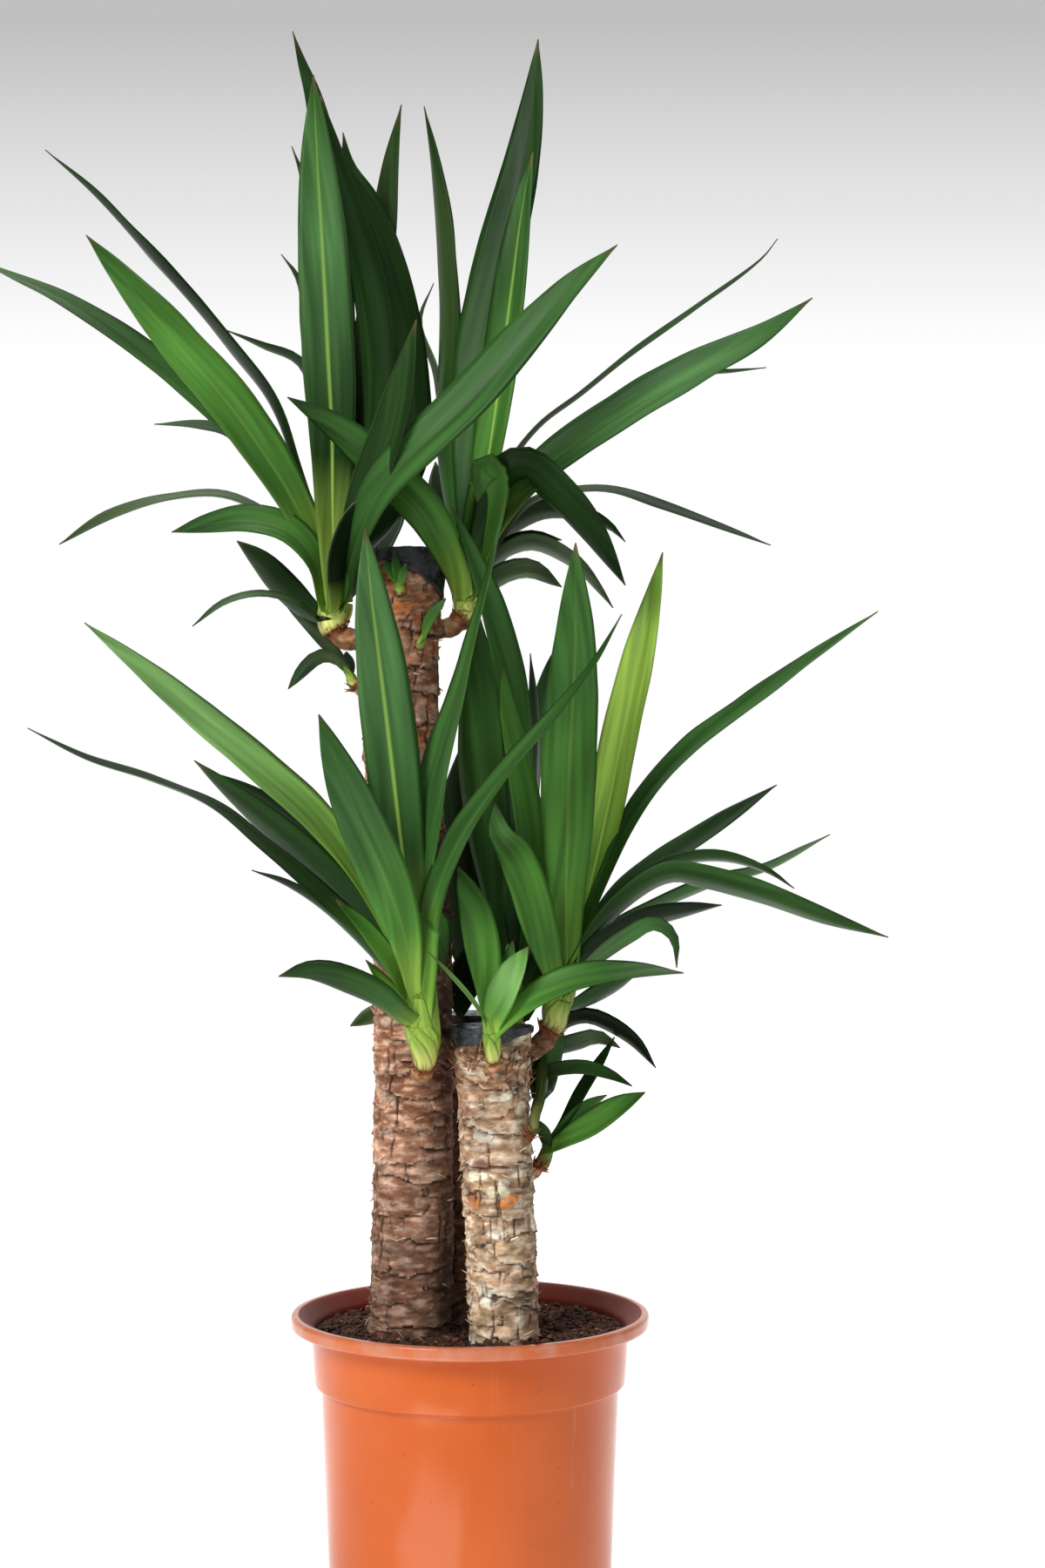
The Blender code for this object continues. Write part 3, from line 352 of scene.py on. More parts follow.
class Shoot:
    """A leafy shoot: the cane it grew from, its woody neck, its green core and its leaves."""

    def __init__(self, name, cane, neck, neck_radius, core, core_radii, leaves):
        self.name = name
        self.cane = cane
        self.neck = [at_pixel(*point) for point in neck]
        self.neck_radius = neck_radius * MM
        outward = (self.neck[-1] - self.neck[-2]).normalized()
        start = self.neck[-1] + outward * GAP
        self.core_radii = [radius * MM for radius in (core_radii[0], *core_radii)]
        straight = start + outward * self.core_radii[0] * CORE_STRAIGHT
        self.core = [start, straight] + [at_pixel(*point) for point in core]
        self.leaves = leaves
        for leaf in leaves:
            deep = leaf.points[0].z - ROOT_DEPTH
            leaf.points.insert(0, min(self.core[2:], key=lambda point: abs(point.z - deep)))


# Materials

POT_BRIGHT = (214, 103, 38)
POT_DEEP = (204, 93, 31)
POT_WEAR_AND_SHEEN = (208, 148, 126)
POT_SCUFF = (238, 170, 140)
POT_DIRT = (96, 52, 34)
PEAT_DARK = (28, 16, 11)
PEAT_LIGHT = (112, 70, 50)
WAX_DARK = (26, 28, 31)
WAX_LIGHT = (72, 77, 84)
WAX_DUST = (128, 128, 130)
MIDRIB = (176, 216, 98)
MARGIN = (186, 206, 130)


def screen(colour):
    """A screen colour, 0 to 255, as a shader's value."""
    return (*linear(colour), 1.0)


def grey(value):
    """A grey as a shader's value."""
    return (value, value, value, 1.0)


class Look:
    """A material, built up node by node."""

    def __init__(self, name):
        self.made = bpy.data.materials.new(name)
        self.made.use_nodes = True
        self.tree = self.made.node_tree
        self.shader = self.tree.nodes["Principled BSDF"]

    def wire(self, made, values):
        """Set a node's inputs to values, or link them to sockets."""
        for name, value in values.items():
            if isinstance(value, bpy.types.NodeSocket):
                self.tree.links.new(value, made.inputs[name])
            else:
                made.inputs[name].default_value = value

    def node(self, kind, values=None, **settings):
        """A shader node with its settings and inputs."""
        made = self.tree.nodes.new(f"ShaderNode{kind}")
        for name, value in settings.items():
            setattr(made, name, value)
        self.wire(made, values or {})
        return made

    def place(self):
        """The place on the object."""
        return self.node("TexCoord").outputs["Object"]

    def painted(self, layer, output="Color"):
        """A painted layer of the mesh."""
        return self.node("Attribute", attribute_name=layer).outputs[output]

    def parts(self, vector):
        """The three numbers of a vector."""
        return self.node("SeparateXYZ", {0: vector}).outputs[:3]

    def stretched(self, scale):
        """The place, scaled along each axis."""
        return self.node("Mapping", {"Vector": self.place(), "Scale": scale}).outputs[0]

    def speckle(self, vector, scale, detail=3.0, rough=0.55):
        """Noise from 0 to 1."""
        values = {"Vector": vector, "Scale": scale, "Detail": detail, "Roughness": rough}
        return self.node("TexNoise", values).outputs["Fac"]

    def span(self, value, low, high, to_low=0.0, to_high=1.0, kind="SMOOTHSTEP"):
        """A value taken from one span of numbers to another, and held within it."""
        values = {"Value": value, "From Min": low, "From Max": high, "To Min": to_low, "To Max": to_high}
        return self.node("MapRange", values, interpolation_type=kind).outputs["Result"]

    def math(self, operation, first, second=0.0):
        """A sum over one or two values."""
        return self.node("Math", {0: first, 1: second}, operation=operation).outputs[0]

    def times(self, first, second):
        """The product of two values."""
        return self.math("MULTIPLY", first, second)

    def mix(self, share, first, second, kind="MIX"):
        """One colour, mixed with another by a share."""
        return self.node("Mix", {0: share, 6: first, 7: second}, data_type="RGBA", blend_type=kind).outputs[2]

    def shaded(self, colour, shade):
        """A colour made darker or lighter by a value."""
        factor = self.node("CombineColor", {0: shade, 1: shade, 2: shade}).outputs[0]
        return self.mix(1.0, colour, factor, "MULTIPLY")

    def finish(self, colour, rough, height, strength, depth, shine=0.5):
        """Give the surface its colour, roughness, bumps and shine. The material is returned."""
        bumps = self.node("Bump", {"Height": height, "Strength": strength, "Distance": depth})
        self.wire(self.shader, {"Base Color": colour, "Roughness": rough, "Normal": bumps.outputs["Normal"],
                                "Specular IOR Level": shine})
        return self.made


def leaf_material():
    """Waxy leaf: fine veins along the blade, a light midrib and margin where painted."""
    look = Look("leaf_green")
    across, along, apart = look.parts(look.painted("blade", "Vector"))
    ribs, rims, width = look.parts(look.painted("marks", "Vector"))
    spread = {0: look.times(across, width), 1: look.times(along, 1.6), 2: apart}
    drawn = look.node("CombineXYZ", spread).outputs[0]
    veins = look.speckle(drawn, 10.0, 0.0)
    bands = look.speckle(drawn, 4.0, 1.0)
    shade = look.times(look.span(veins, 0.3, 0.7, 0.86, 1.14), look.span(bands, 0.3, 0.7, 0.78, 1.22))
    colour = look.shaded(look.painted("tint"), shade)
    off = look.math("ABSOLUTE", look.math("SUBTRACT", across, 0.5))
    colour = look.mix(look.times(look.span(off, 0.008, 0.055, 1.0, 0.0), ribs), colour, screen(MIDRIB))
    colour = look.mix(look.times(look.span(off, 0.452, 0.49), rims), colour, screen(MARGIN))
    return look.finish(colour, look.span(bands, 0.3, 0.7, 0.30, 0.48), bands, 0.2, 0.6 * MM, shine=0.1)


def bark_material(name, fleck, fleck_scale):
    """Painted bark, broken up by fibres that run round the stem, with fine flecks and pits."""
    look = Look(name)
    flat = look.stretched((1.0, 1.0, 2.0))
    fibres = look.speckle(flat, 150.0, 5.0, 0.7)
    coarse = look.speckle(flat, 60.0, 4.0, 0.65)
    shade = look.times(look.span(fibres, 0.3, 0.7, 0.68, 1.34), look.span(coarse, 0.3, 0.7, 0.76, 1.26))
    colour = look.shaded(look.painted("tint"), shade)
    flecks = look.times(look.span(look.speckle(flat, fleck_scale, 4.0, 0.6), 0.6, 0.7), 0.55)
    colour = look.mix(flecks, colour, screen(fleck))
    rough = look.span(fibres, 0.3, 0.7, 0.72, 0.95)
    return look.finish(colour, rough, look.math("ADD", fibres, coarse), 0.7, 1.2 * MM, shine=0.25)


def soil_material():
    """Peat of fine dark and brown grains."""
    look = Look("peat")
    grain = look.speckle(look.place(), 420.0, 5.0, 0.7)
    colour = look.mix(look.span(grain, 0.3, 0.72), screen(PEAT_DARK), screen(PEAT_LIGHT))
    colour = look.mix(1.0, colour, look.painted("tint"), "MULTIPLY")
    return look.finish(colour, look.span(grain, 0.2, 0.8, 0.8, 0.98), grain, 0.8, 1.2 * MM)


def pot_material():
    """Moulded orange plastic: faint clouding, fine scuffs, specks, a lip painted paler as wear and as a painted
    highlight, and a soft shine.
    """
    look = Look("orange_plastic")
    spot = look.place()
    cloud = look.speckle(spot, 9.0)
    lines = look.speckle(look.stretched((1.0, 1.0, 0.12)), 120.0, 4.0, 0.6)
    colour = look.mix(look.span(cloud, 0.3, 0.7), screen(POT_DEEP), screen(POT_BRIGHT))
    colour = look.mix(look.times(look.span(lines, 0.58, 0.78), 0.16), colour, screen(POT_SCUFF))
    specks = look.times(look.span(look.speckle(spot, 260.0, 2.0), 0.71, 0.76), 0.5)
    colour = look.mix(specks, colour, screen(POT_DIRT))
    # The lip is painted paler: part wear, part a painted highlight.
    lip = look.span(look.parts(spot)[2], UNDER_LIP - 0.5 * MM, UNDER_LIP + MM)
    wear_and_sheen = look.times(lip, look.span(look.speckle(spot, 45.0), 0.35, 0.7, 0.15, 0.7))
    colour = look.mix(wear_and_sheen, colour, screen(POT_WEAR_AND_SHEEN))
    shade = look.painted("tint")
    colour = look.mix(1.0, colour, shade, "MULTIPLY")
    inside = look.span(look.node("SeparateColor", {0: shade}).outputs[0], 0.5, 0.9, 0.4, 0.0)
    rough = look.math("ADD", look.span(lines, 0.3, 0.8, 0.12, 0.18), inside)
    return look.finish(colour, rough, look.speckle(spot, 900.0, 2.0), 0.12, 0.4 * MM, shine=0.36)


def wax_material():
    """Black sealing wax, clouded grey, with specks of dust."""
    look = Look("black_wax")
    spot = look.place()
    clump = look.speckle(spot, 130.0, 4.0, 0.6)
    colour = look.mix(look.span(clump, 0.35, 0.75), screen(WAX_DARK), screen(WAX_LIGHT))
    dust = look.times(look.span(look.speckle(spot, 420.0, 2.0), 0.66, 0.72), 0.6)
    colour = look.mix(dust, colour, screen(WAX_DUST))
    return look.finish(colour, look.span(clump, 0.3, 0.7, 0.25, 0.5), clump, 0.5, 1.6 * MM)


LEAF_GREEN = leaf_material()
PEAT = soil_material()
ORANGE_PLASTIC = pot_material()
BLACK_WAX = wax_material()


# Canes

BARK_GRAIN = 1.0 * MM
BARK_ROW = 1.15 * MM
BARK_DEEP = 8 * MM
SCARS_FROM = 150 * MM
GOLDEN = 2.39996
SCAR_STAND = 1.45 * MM
PLATE_STAND = 0.5 * MM
SWELL_STAND = 0.8 * MM
FINE_STAND = 0.42 * MM
LIP_DEEP = 2.0 * MM
CRACK_WIDE = 1.15 * MM
CRACK_DEEP = 1.5 * MM
TOP_CALM_OVER = 8 * MM
FOOT_CALM_FROM = SOIL_TOP - 4 * MM
FOOT_CALM_OVER = 6 * MM
WAVER_RISE = 26 * MM
WAVER_TURN = 4.2
TONE_FROM = SOIL_TOP + 60 * MM


class Cane:
    """A bare stem: a depth, picture points up its middle with its width in mm at each, and how far
    below its top the bark stays plain. Then its seed and material, the rise in mm from one leaf scar
    to the next, the cuts across each, how much it flakes, how much painted shade darkens its right
    side and painted light brightens its left side at heights in mm, spots of other colours, how many
    dry fibres it has, and the colours of its bark."""

    def __init__(self, name, depth, middle, calm_top, seed, finish, rise, cuts, flaking, painted_shade, painted_light, patches,
                 fibres, top_fibres, **colours):
        self.name = name
        self.depth = depth * MM
        self.calm_top = calm_top * MM
        self.seed = seed
        self.finish = finish
        self.rise = rise * MM
        self.cuts = cuts
        self.flaking = flaking
        self.painted_shade = painted_shade
        self.painted_light = painted_light
        self.patches = patches
        self.fibres = fibres
        self.top_fibres = top_fibres
        self.colours = {use: linear(colour) for use, colour in colours.items()}
        self.xs, _, self.heights = np.transpose([at_pixel(px, py, depth) for px, py, _ in middle])
        self.radii = np.array([width * MM / 2 for _, _, width in middle])
        self.top = float(self.heights[-1])

    def surface(self, height, angle, stand=0.0):
        """Points on the stem at heights and angles, standing off its plain skin."""
        reach = np.interp(height, self.heights, self.radii) + stand
        return ring_points(np.interp(height, self.heights, self.xs), self.depth, reach, angle, height)

    def grain(self, spots, layer, *size, octaves=1):
        """One of the bark's layers of noise, with its size in mm."""
        return fractal(spots, np.array(size) * MM, octaves, self.seed + layer)

    def build(self):
        """The bark, with its scars, cracks and colours."""
        rows = int((self.top - SOIL_TOP + BARK_DEEP) / BARK_ROW)
        heights = np.concatenate([[CANE_FOOT, SCARS_FROM], np.linspace(SOIL_TOP - BARK_DEEP, self.top, rows)])
        angles = full_turn(int(math.tau * self.radii.max() / BARK_GRAIN))
        height, angle = np.meshgrid(heights, angles, indexing="ij")
        plain = self.surface(height, angle)
        swell, crack_and_shade, lip, plate = self.scars(height, angle, plain)
        calm = np.clip((self.top - self.calm_top - height) / TOP_CALM_OVER, 0, 1)
        calm = calm * np.clip((height - FOOT_CALM_FROM) / FOOT_CALM_OVER, 0.2, 1)
        stand = calm * (swell + FINE_STAND * self.grain(plain, 40, 5, 5, 2.4, octaves=3))
        points = self.surface(height, angle, stand - CRACK_DEEP * crack_and_shade * np.maximum(calm, 0.25))
        points[-1] = plain[-1]
        skin = Skin("tint")
        skin.add_tube(points, tint=self.paint(height, angle, plain, crack_and_shade, lip, plate))
        return skin

    def scars(self, height, angle, plain):
        """Old leaf scars: overlapping half moons, each standing out at its lower edge, with cuts."""
        rng = np.random.default_rng(self.seed)
        below, above, side = np.ones((3, *height.shape))
        plate = np.zeros(height.shape)
        around = ring_points(0, 0, 1, angle, height / WAVER_RISE) * WAVER_TURN
        level = height + 2.6 * MM * noise(around, 1, self.seed) + 1.3 * MM * self.grain(plain, 1, 5)
        ragged = angle + 0.07 * self.grain(plain, 2, 5)
        for index in range(int((self.top - SCARS_FROM) / self.rise) + 4):
            middle = SCARS_FROM + index * self.rise + rng.uniform(-2.5, 2.5) * MM
            facing = index * GOLDEN + rng.uniform(-0.25, 0.25)
            reach = rng.uniform(0.75, 1.7)
            curl = rng.uniform(1.5, 6.5) * MM
            shade = rng.uniform(0, 1)
            slope = rng.uniform(-2.2, 2.2) * MM
            cuts = rng.uniform(-reach, reach, self.cuts)
            turn = (ragged - facing + math.pi) % math.tau - math.pi
            gap = level - middle - curl * (turn / reach) ** 2 - slope * turn
            inside = np.abs(turn) < reach
            take = inside & (gap >= 0) & (gap < below)
            below[take] = gap[take]
            plate[take] = shade
            nearest = np.min(np.abs(turn[take][:, None] - cuts), axis=1)
            side[take] = np.minimum(reach - np.abs(turn[take]), nearest) * self.radii.mean()
            over = inside & (gap < 0) & (-gap < above)
            above[over] = -gap[over]
        lip = np.exp(-below / LIP_DEEP)
        # The crack band runs down from each lip: a dark crack, and with it painted shade just under the lip.
        crack_and_shade = np.exp(-(above / (CRACK_WIDE * 1.4)) ** 1.5)
        crack_and_shade = crack_and_shade * np.clip(0.75 + 0.75 * self.grain(plain, 5, 10), 0.15, 1)
        cut = np.exp(-(side / (CRACK_WIDE * 0.6)) ** 2) * np.clip(self.grain(plain, 6, 10) * 1.8 + 0.4, 0, 1)
        swell = SCAR_STAND * (lip - 0.35) + PLATE_STAND * (plate - 0.5)
        swell = swell + SWELL_STAND * self.grain(plain, 20, 16, 16, 9)
        return swell, np.maximum(crack_and_shade, cut), lip, plate

    def paint(self, height, angle, plain, crack_and_shade, lip, plate):
        """The bark's colours: plates of two kinds, flakes, a painted highlight along each scar's lip, and dark
        cracks that also hold painted shade just under each lip.
        """
        colours = self.colours
        patch = self.grain(plain, 30, 15, 15, 8)
        up = np.clip((height - SOIL_TOP) / (self.top - SOIL_TOP), 0, 1)[..., None]
        rise = (height - TONE_FROM) / (self.top - TONE_FROM)
        tint = towards(colours["low"], colours["high"], rise + 0.15 * patch)
        tint = towards(tint, colours["plate"], (plate - 0.4) * 1.6 + 0.4 * patch, 1 - 0.55 * up)
        tint = tint * (0.78 + 0.44 * ((plate * 7.3) % 1))[..., None]
        flake = self.grain(plain, 31, 11, 11, 4.5)
        tint = towards(tint, colours["flake"], (flake - 0.28) * 2.4, self.flaking)
        bright = np.clip(0.6 + 0.9 * self.grain(plain, 37, 8), 0, 1)
        # Painted highlight: each scar's lip is painted paler, as if light caught on it.
        tint = towards(tint, colours["lip"], (lip * 1.3 - 0.4) * bright, 0.9)
        streak = self.grain(plain, 38, 8, 8, 2.2, octaves=3)
        tint = towards(tint, colours["flake"], (streak - 0.15) * 3.5, 0.42)
        tint = tint * (1 - 0.34 * np.clip((-streak - 0.15) * 3, 0, 1))[..., None]
        mottle = self.grain(plain, 36, 5, 5, 3.6, octaves=3)
        shadow = self.grain(plain, 33, 22, 22, 12)
        tint = tint * np.clip(1 + 0.2 * shadow + 0.3 * mottle, 0.3, 1.7)[..., None]
        for spot, size, colour in self.patches:
            away = (plain - np.array(at_pixel(*spot))) / (np.array(size) * MM)
            ragged = 1.15 - np.linalg.norm(away, axis=-1) + 0.55 * self.grain(plain, 35, 5)
            tint = towards(tint, linear(colour), ragged * 3, 0.85)
        # Painted shade darkens the cane's right side, and painted light brightens its left side, by amounts
        # given at heights in mm.
        painted_shade = np.clip((np.cos(angle + 0.1 * patch) - 0.2) / 0.55, 0, 1) * np.interp(height / MM, *self.painted_shade)
        painted_light = np.clip(0.6 - np.cos(angle), 0, 1) * np.interp(height / MM, *self.painted_light)
        tint = tint * ((1 - painted_shade) * (1 + painted_light))[..., None]
        # Dark cracks, and with them painted shade just under each lip.
        return towards(tint, colours["crack_and_shade"], crack_and_shade * 1.3, 0.95)


# Each cane's lip colour paints a highlight along its scar lips. Its crack colour paints dark cracks together
# with shade just under each lip.
TALL = Cane("cane_tall", -12, [
    (470, 1530, 55), (474, 1400, 54), (475, 1200, 53), (474, 1080, 53), (466, 950, 52),
    (460, 850, 51), (460, 780, 51), (464, 700, 50), (470, 633, 47)], 24, 11,
    bark_material("tall_bark", (206, 170, 140), 95.0), 7.2, 4, 0.55,
    ((250, 316, 362, 400, 430, 520, 560), (0.76, 0.5, 0.2, 0.35, 0.68, 0.68, 0)),
    ((215, 250, 320, 370, 420, 460, 560), (-0.2, -0.06, 0.42, 0.36, 0.8, 0.6, 0)),
    [], 260, 0, low=(128, 89, 68), high=(166, 99, 56), plate=(162, 121, 98), flake=(208, 178, 156),
    lip=(214, 178, 150), crack_and_shade=(44, 26, 19))
SHORT = Cane("cane_short", -35, [
    (579, 1530, 47), (576, 1450, 47), (567, 1260, 48), (564, 1205, 53), (565, 1180, 52)], 20, 23,
    bark_material("short_bark", (238, 220, 194), 80.0), 6.4, 5, 0.9,
    ((200, 500), (0.15, 0.15)), ((215, 250, 286, 315, 345), (0.3, 0.5, 0.75, 0.35, -0.1)),
    [((586, 1378, -60), (7, 12, 5), (186, 112, 50)), ((541, 1378, -56), (6, 12, 7), (176, 112, 62)),
     ((550, 1340, -60), (9, 12, 5), (128, 84, 66)), ((558, 1306, -60), (11, 12, 4), (238, 230, 212)),
     ((578, 1261, -60), (9, 12, 2.4), (236, 228, 206)), ((545, 1352, -58), (8, 12, 4), (240, 232, 200)),
     ((572, 1368, -60), (9, 12, 4), (232, 226, 190)), ((557, 1488, -58), (6, 12, 8), (226, 220, 198)),
     ((600, 1276, -58), (4, 12, 5), (228, 216, 190)), ((566, 1418, -60), (8, 12, 2.4), (226, 216, 196))],
    150, 260, low=(176, 146, 114), high=(176, 134, 102), plate=(194, 156, 126), flake=(238, 224, 200),
    lip=(230, 206, 178), crack_and_shade=(74, 48, 33))
BACK = Cane("cane_back", 42, [
    (527, 1530, 46), (532, 1350, 45), (543, 1190, 44), (546, 1165, 43)], 14, 37,
    bark_material("back_bark", (150, 112, 86), 95.0), 6, 3, 0.4,
    ((200, 500), (0, 0)), ((200, 500), (0, 0)),
    [], 60, 40, low=(92, 66, 50), high=(112, 80, 60), plate=(120, 88, 68), flake=(150, 116, 92),
    lip=(142, 108, 84), crack_and_shade=(34, 22, 16))


# Leaves, shoot by shoot. A leaf is its width in mm, its turn, and picture points with a depth.

UPPER_LEFT = Shoot(
    "head_upper_left", TALL,
    [(442, 734, -12), (406, 734, -12), (391, 731, -12), (387, 723, -12)], 7.2,
    [(385, 700, -12), (385, 675, -12), (385, 645, -12), (386, 615, -12)], (9.5, 10.5, 10.5, 9, 4), [
        Leaf(33, 60, (373, 672, -10), (330, 580, 0), (250, 480, 5), (100, 362, 0), (-22, 300, -5)),
        Leaf(36, 30, (384, 690, -16), (345, 590, -30), (270, 475, -45), (195, 385, -55), (99, 270, -60)),
        Leaf(28, -74, (378, 660, 0), (340, 540, 18), (310, 462, 24), (260, 395, 28), (200, 325, 28),
             (110, 225, 20), (52, 172, 15)),
        Leaf(20, -65, (384, 640, 6), (370, 520, 44), (345, 420, 50), (300, 397, 52), (257, 378, 52)),
        Leaf(28, 68, (372, 670, 4), (330, 580, 24), (265, 500, 32), (230, 490, 32), (177, 487, 30)),
        Leaf(30, (58, 78, 82, 60), (373, 690, 10), (345, 630, 16), (300, 590, 18), (255, 571, 18),
             (200, 573, 18), (130, 592, 16), (68, 625, 14)),
        Leaf(30, 50, (374, 700, -18), (362, 645, -34), (330, 610, -42), (285, 598, -44), (240, 602, -42),
             (197, 611, -40)),
        Leaf(26, -40, (378, 712, -4), (352, 700, 4), (322, 672, 6), (298, 645, 6), (272, 621, 6)),
        Leaf(15, (70, 72, 60), (376, 716, -6), (356, 704, -22), (340, 693, -26), (300, 683, -26),
             (258, 692, -24), (221, 719, -22)),
        Leaf(36, 6, (386, 696, -22), (382, 600, -34), (381, 500, -34), (376, 400, -40), (371, 300, -42),
             (364, 180, -35), (360, 86, -28)),
        Leaf(30, 40, (387, 660, -4), (388, 500, 0), (385, 350, 2), (374, 200, 0), (358, 110, -2),
             (346, 72, -4), (336, 36, -6)),
        Leaf(26, -60, (384, 660, 4), (375, 450, 18), (360, 300, 18), (345, 200, 16), (335, 168, 15)),
        Leaf(24, -62, (382, 655, 8), (375, 550, 30), (360, 420, 34), (342, 322, 34), (323, 292, 34)),
        Leaf(32, 42, (392, 660, -6), (424, 560, -12), (432, 450, -14), (420, 330, -14), (392, 220, -12),
             (368, 110, -10)),
        Leaf(34, -35, (394, 650, 0), (440, 600, 4), (476, 520, 6), (473, 430, 8), (455, 330, 10),
             (425, 232, 14), (402, 190, 16), (394, 152, 18)),
        Leaf(32, 44, (390, 655, 4), (400, 580, 34), (420, 450, 38), (435, 340, 38), (443, 260, 36),
             (450, 190, 35), (461, 120, 34)),
        Leaf(34, (60, 40, 30, 35), (394, 690, -22), (406, 635, -50), (436, 565, -82), (478, 518, -94),
             (540, 458, -100), (600, 390, -102), (655, 330, -104), (709, 281, -104)),
        Leaf(30, (30, 38, 45), (390, 690, -24), (404, 630, -46), (425, 560, -70), (448, 495, -86),
             (465, 430, -94), (478, 367, -96)),
        Leaf(26, -50, (388, 700, -26), (395, 635, -48), (412, 595, -58), (440, 572, -64), (473, 549, -68)),
        Leaf(32, 55, (388, 680, 4), (392, 600, 50), (398, 520, 100), (404, 450, 150)),
        Leaf(34, 40, (392, 690, 4), (420, 645, 50), (444, 604, 90), (456, 576, 130)),
        Leaf(30, 75, (388, 705, 4), (396, 684, 60), (402, 672, 120), (405, 670, 190)),
    ])

UPPER_RIGHT = Shoot(
    "head_upper_right", TALL,
    [(480, 716, -11), (508, 722, -9), (520, 719, -9), (528, 711, -8)], 6.5,
    [(534, 690, -8), (535, 660, -8), (537, 630, -8), (539, 605, -8)], (6.5, 7, 7, 7, 3), [
        Leaf(36, 28, (538, 650, -6), (540, 520, 2), (548, 420, 6), (568, 320, 8), (594, 220, 8),
             (612, 120, 6), (618, 45, 4)),
        Leaf(32, 40, (540, 650, -10), (562, 520, -12), (575, 430, -14), (588, 330, -14), (600, 240, -12),
             (612, 175, -10)),
        Leaf(26, -55, (534, 640, 0), (520, 600, 20), (507, 500, 28), (512, 400, 28), (510, 300, 26),
             (500, 200, 26), (487, 122, 25)),
        Leaf(13, 60, (534, 650, 0), (512, 520, 44), (500, 430, 48), (481, 370, 48), (498, 325, 46)),
        Leaf(34, 42, (540, 670, -12), (562, 615, -22), (600, 560, -32), (660, 510, -42), (730, 465, -50),
             (800, 425, -56), (880, 382, -60), (933, 342, -62)),
        Leaf(15, (70, 76, 70), (538, 640, 2), (575, 550, 36), (620, 490, 42), (670, 452, 42),
             (720, 412, 42), (800, 354, 40), (875, 297, 40), (893, 274, 40)),
        Leaf(20, -70, (540, 660, 0), (575, 600, 6), (620, 530, 8), (700, 470, 10), (800, 431, 8), (840, 427, 8),
             (880, 422, 6)),
        Leaf(34, -44, (538, 690, -14), (560, 605, -26), (578, 552, -38), (602, 538, -48), (640, 567, -56),
             (680, 612, -60), (718, 672, -64)),
        Leaf(20, (60, 76, 60), (540, 680, -4), (572, 625, 8), (610, 578, 14), (655, 565, 16), (700, 564, 16),
             (760, 583, 14), (830, 607, 12), (885, 626, 10)),
        Leaf(18, -40, (540, 690, -2), (560, 655, 18), (585, 628, 26), (612, 618, 28), (645, 620, 28)),
        Leaf(22, -45, (540, 700, -4), (556, 678, 6), (580, 660, 10), (608, 655, 10), (645, 674, 8)),
        Leaf(24, -60, (540, 695, -2), (566, 645, 16), (610, 625, 20), (655, 645, 20), (690, 680, 18),
             (704, 698, 16)),
        Leaf(22, -50, (540, 680, 0), (570, 620, 36), (620, 588, 42), (664, 590, 42), (700, 605, 42),
             (718, 622, 40)),
        Leaf(28, (20, 10, 0, 20), (540, 680, -12), (556, 590, -30), (562, 552, -44), (558, 538, -58),
             (552, 550, -70), (548, 576, -76), fold=8),
        Leaf(32, (-20, -30, -38), (531, 690, -16), (523, 658, -36), (490, 594, -60), (452, 553, -60),
             (415, 518, -62), (378, 487, -64), (330, 456, -64)),
        Leaf(30, 55, (538, 670, 0), (546, 600, 60), (552, 540, 110), (558, 505, 165)),
        Leaf(34, 40, (532, 695, 2), (520, 640, 46), (508, 580, 80), (500, 530, 105)),
    ])

TWIG = Shoot(
    "twig_left", TALL,
    [(438, 800, -6), (416, 794, 0), (409, 788, 3)], 3.2,
    [(402, 777, 6), (394, 764, 9)], (3, 2.8, 1.6), [
        Leaf(12, 30, (398, 770, 8), (384, 756, 9), (368, 754, 8), (352, 766, 6), (331, 791, 4)),
        Leaf(15, 40, (398, 768, 9), (378, 744, 16), (350, 712, 24), (325, 690, 28)),
        Leaf(9, 30, (402, 774, 9), (400, 760, 16), (398, 748, 24)),
    ])

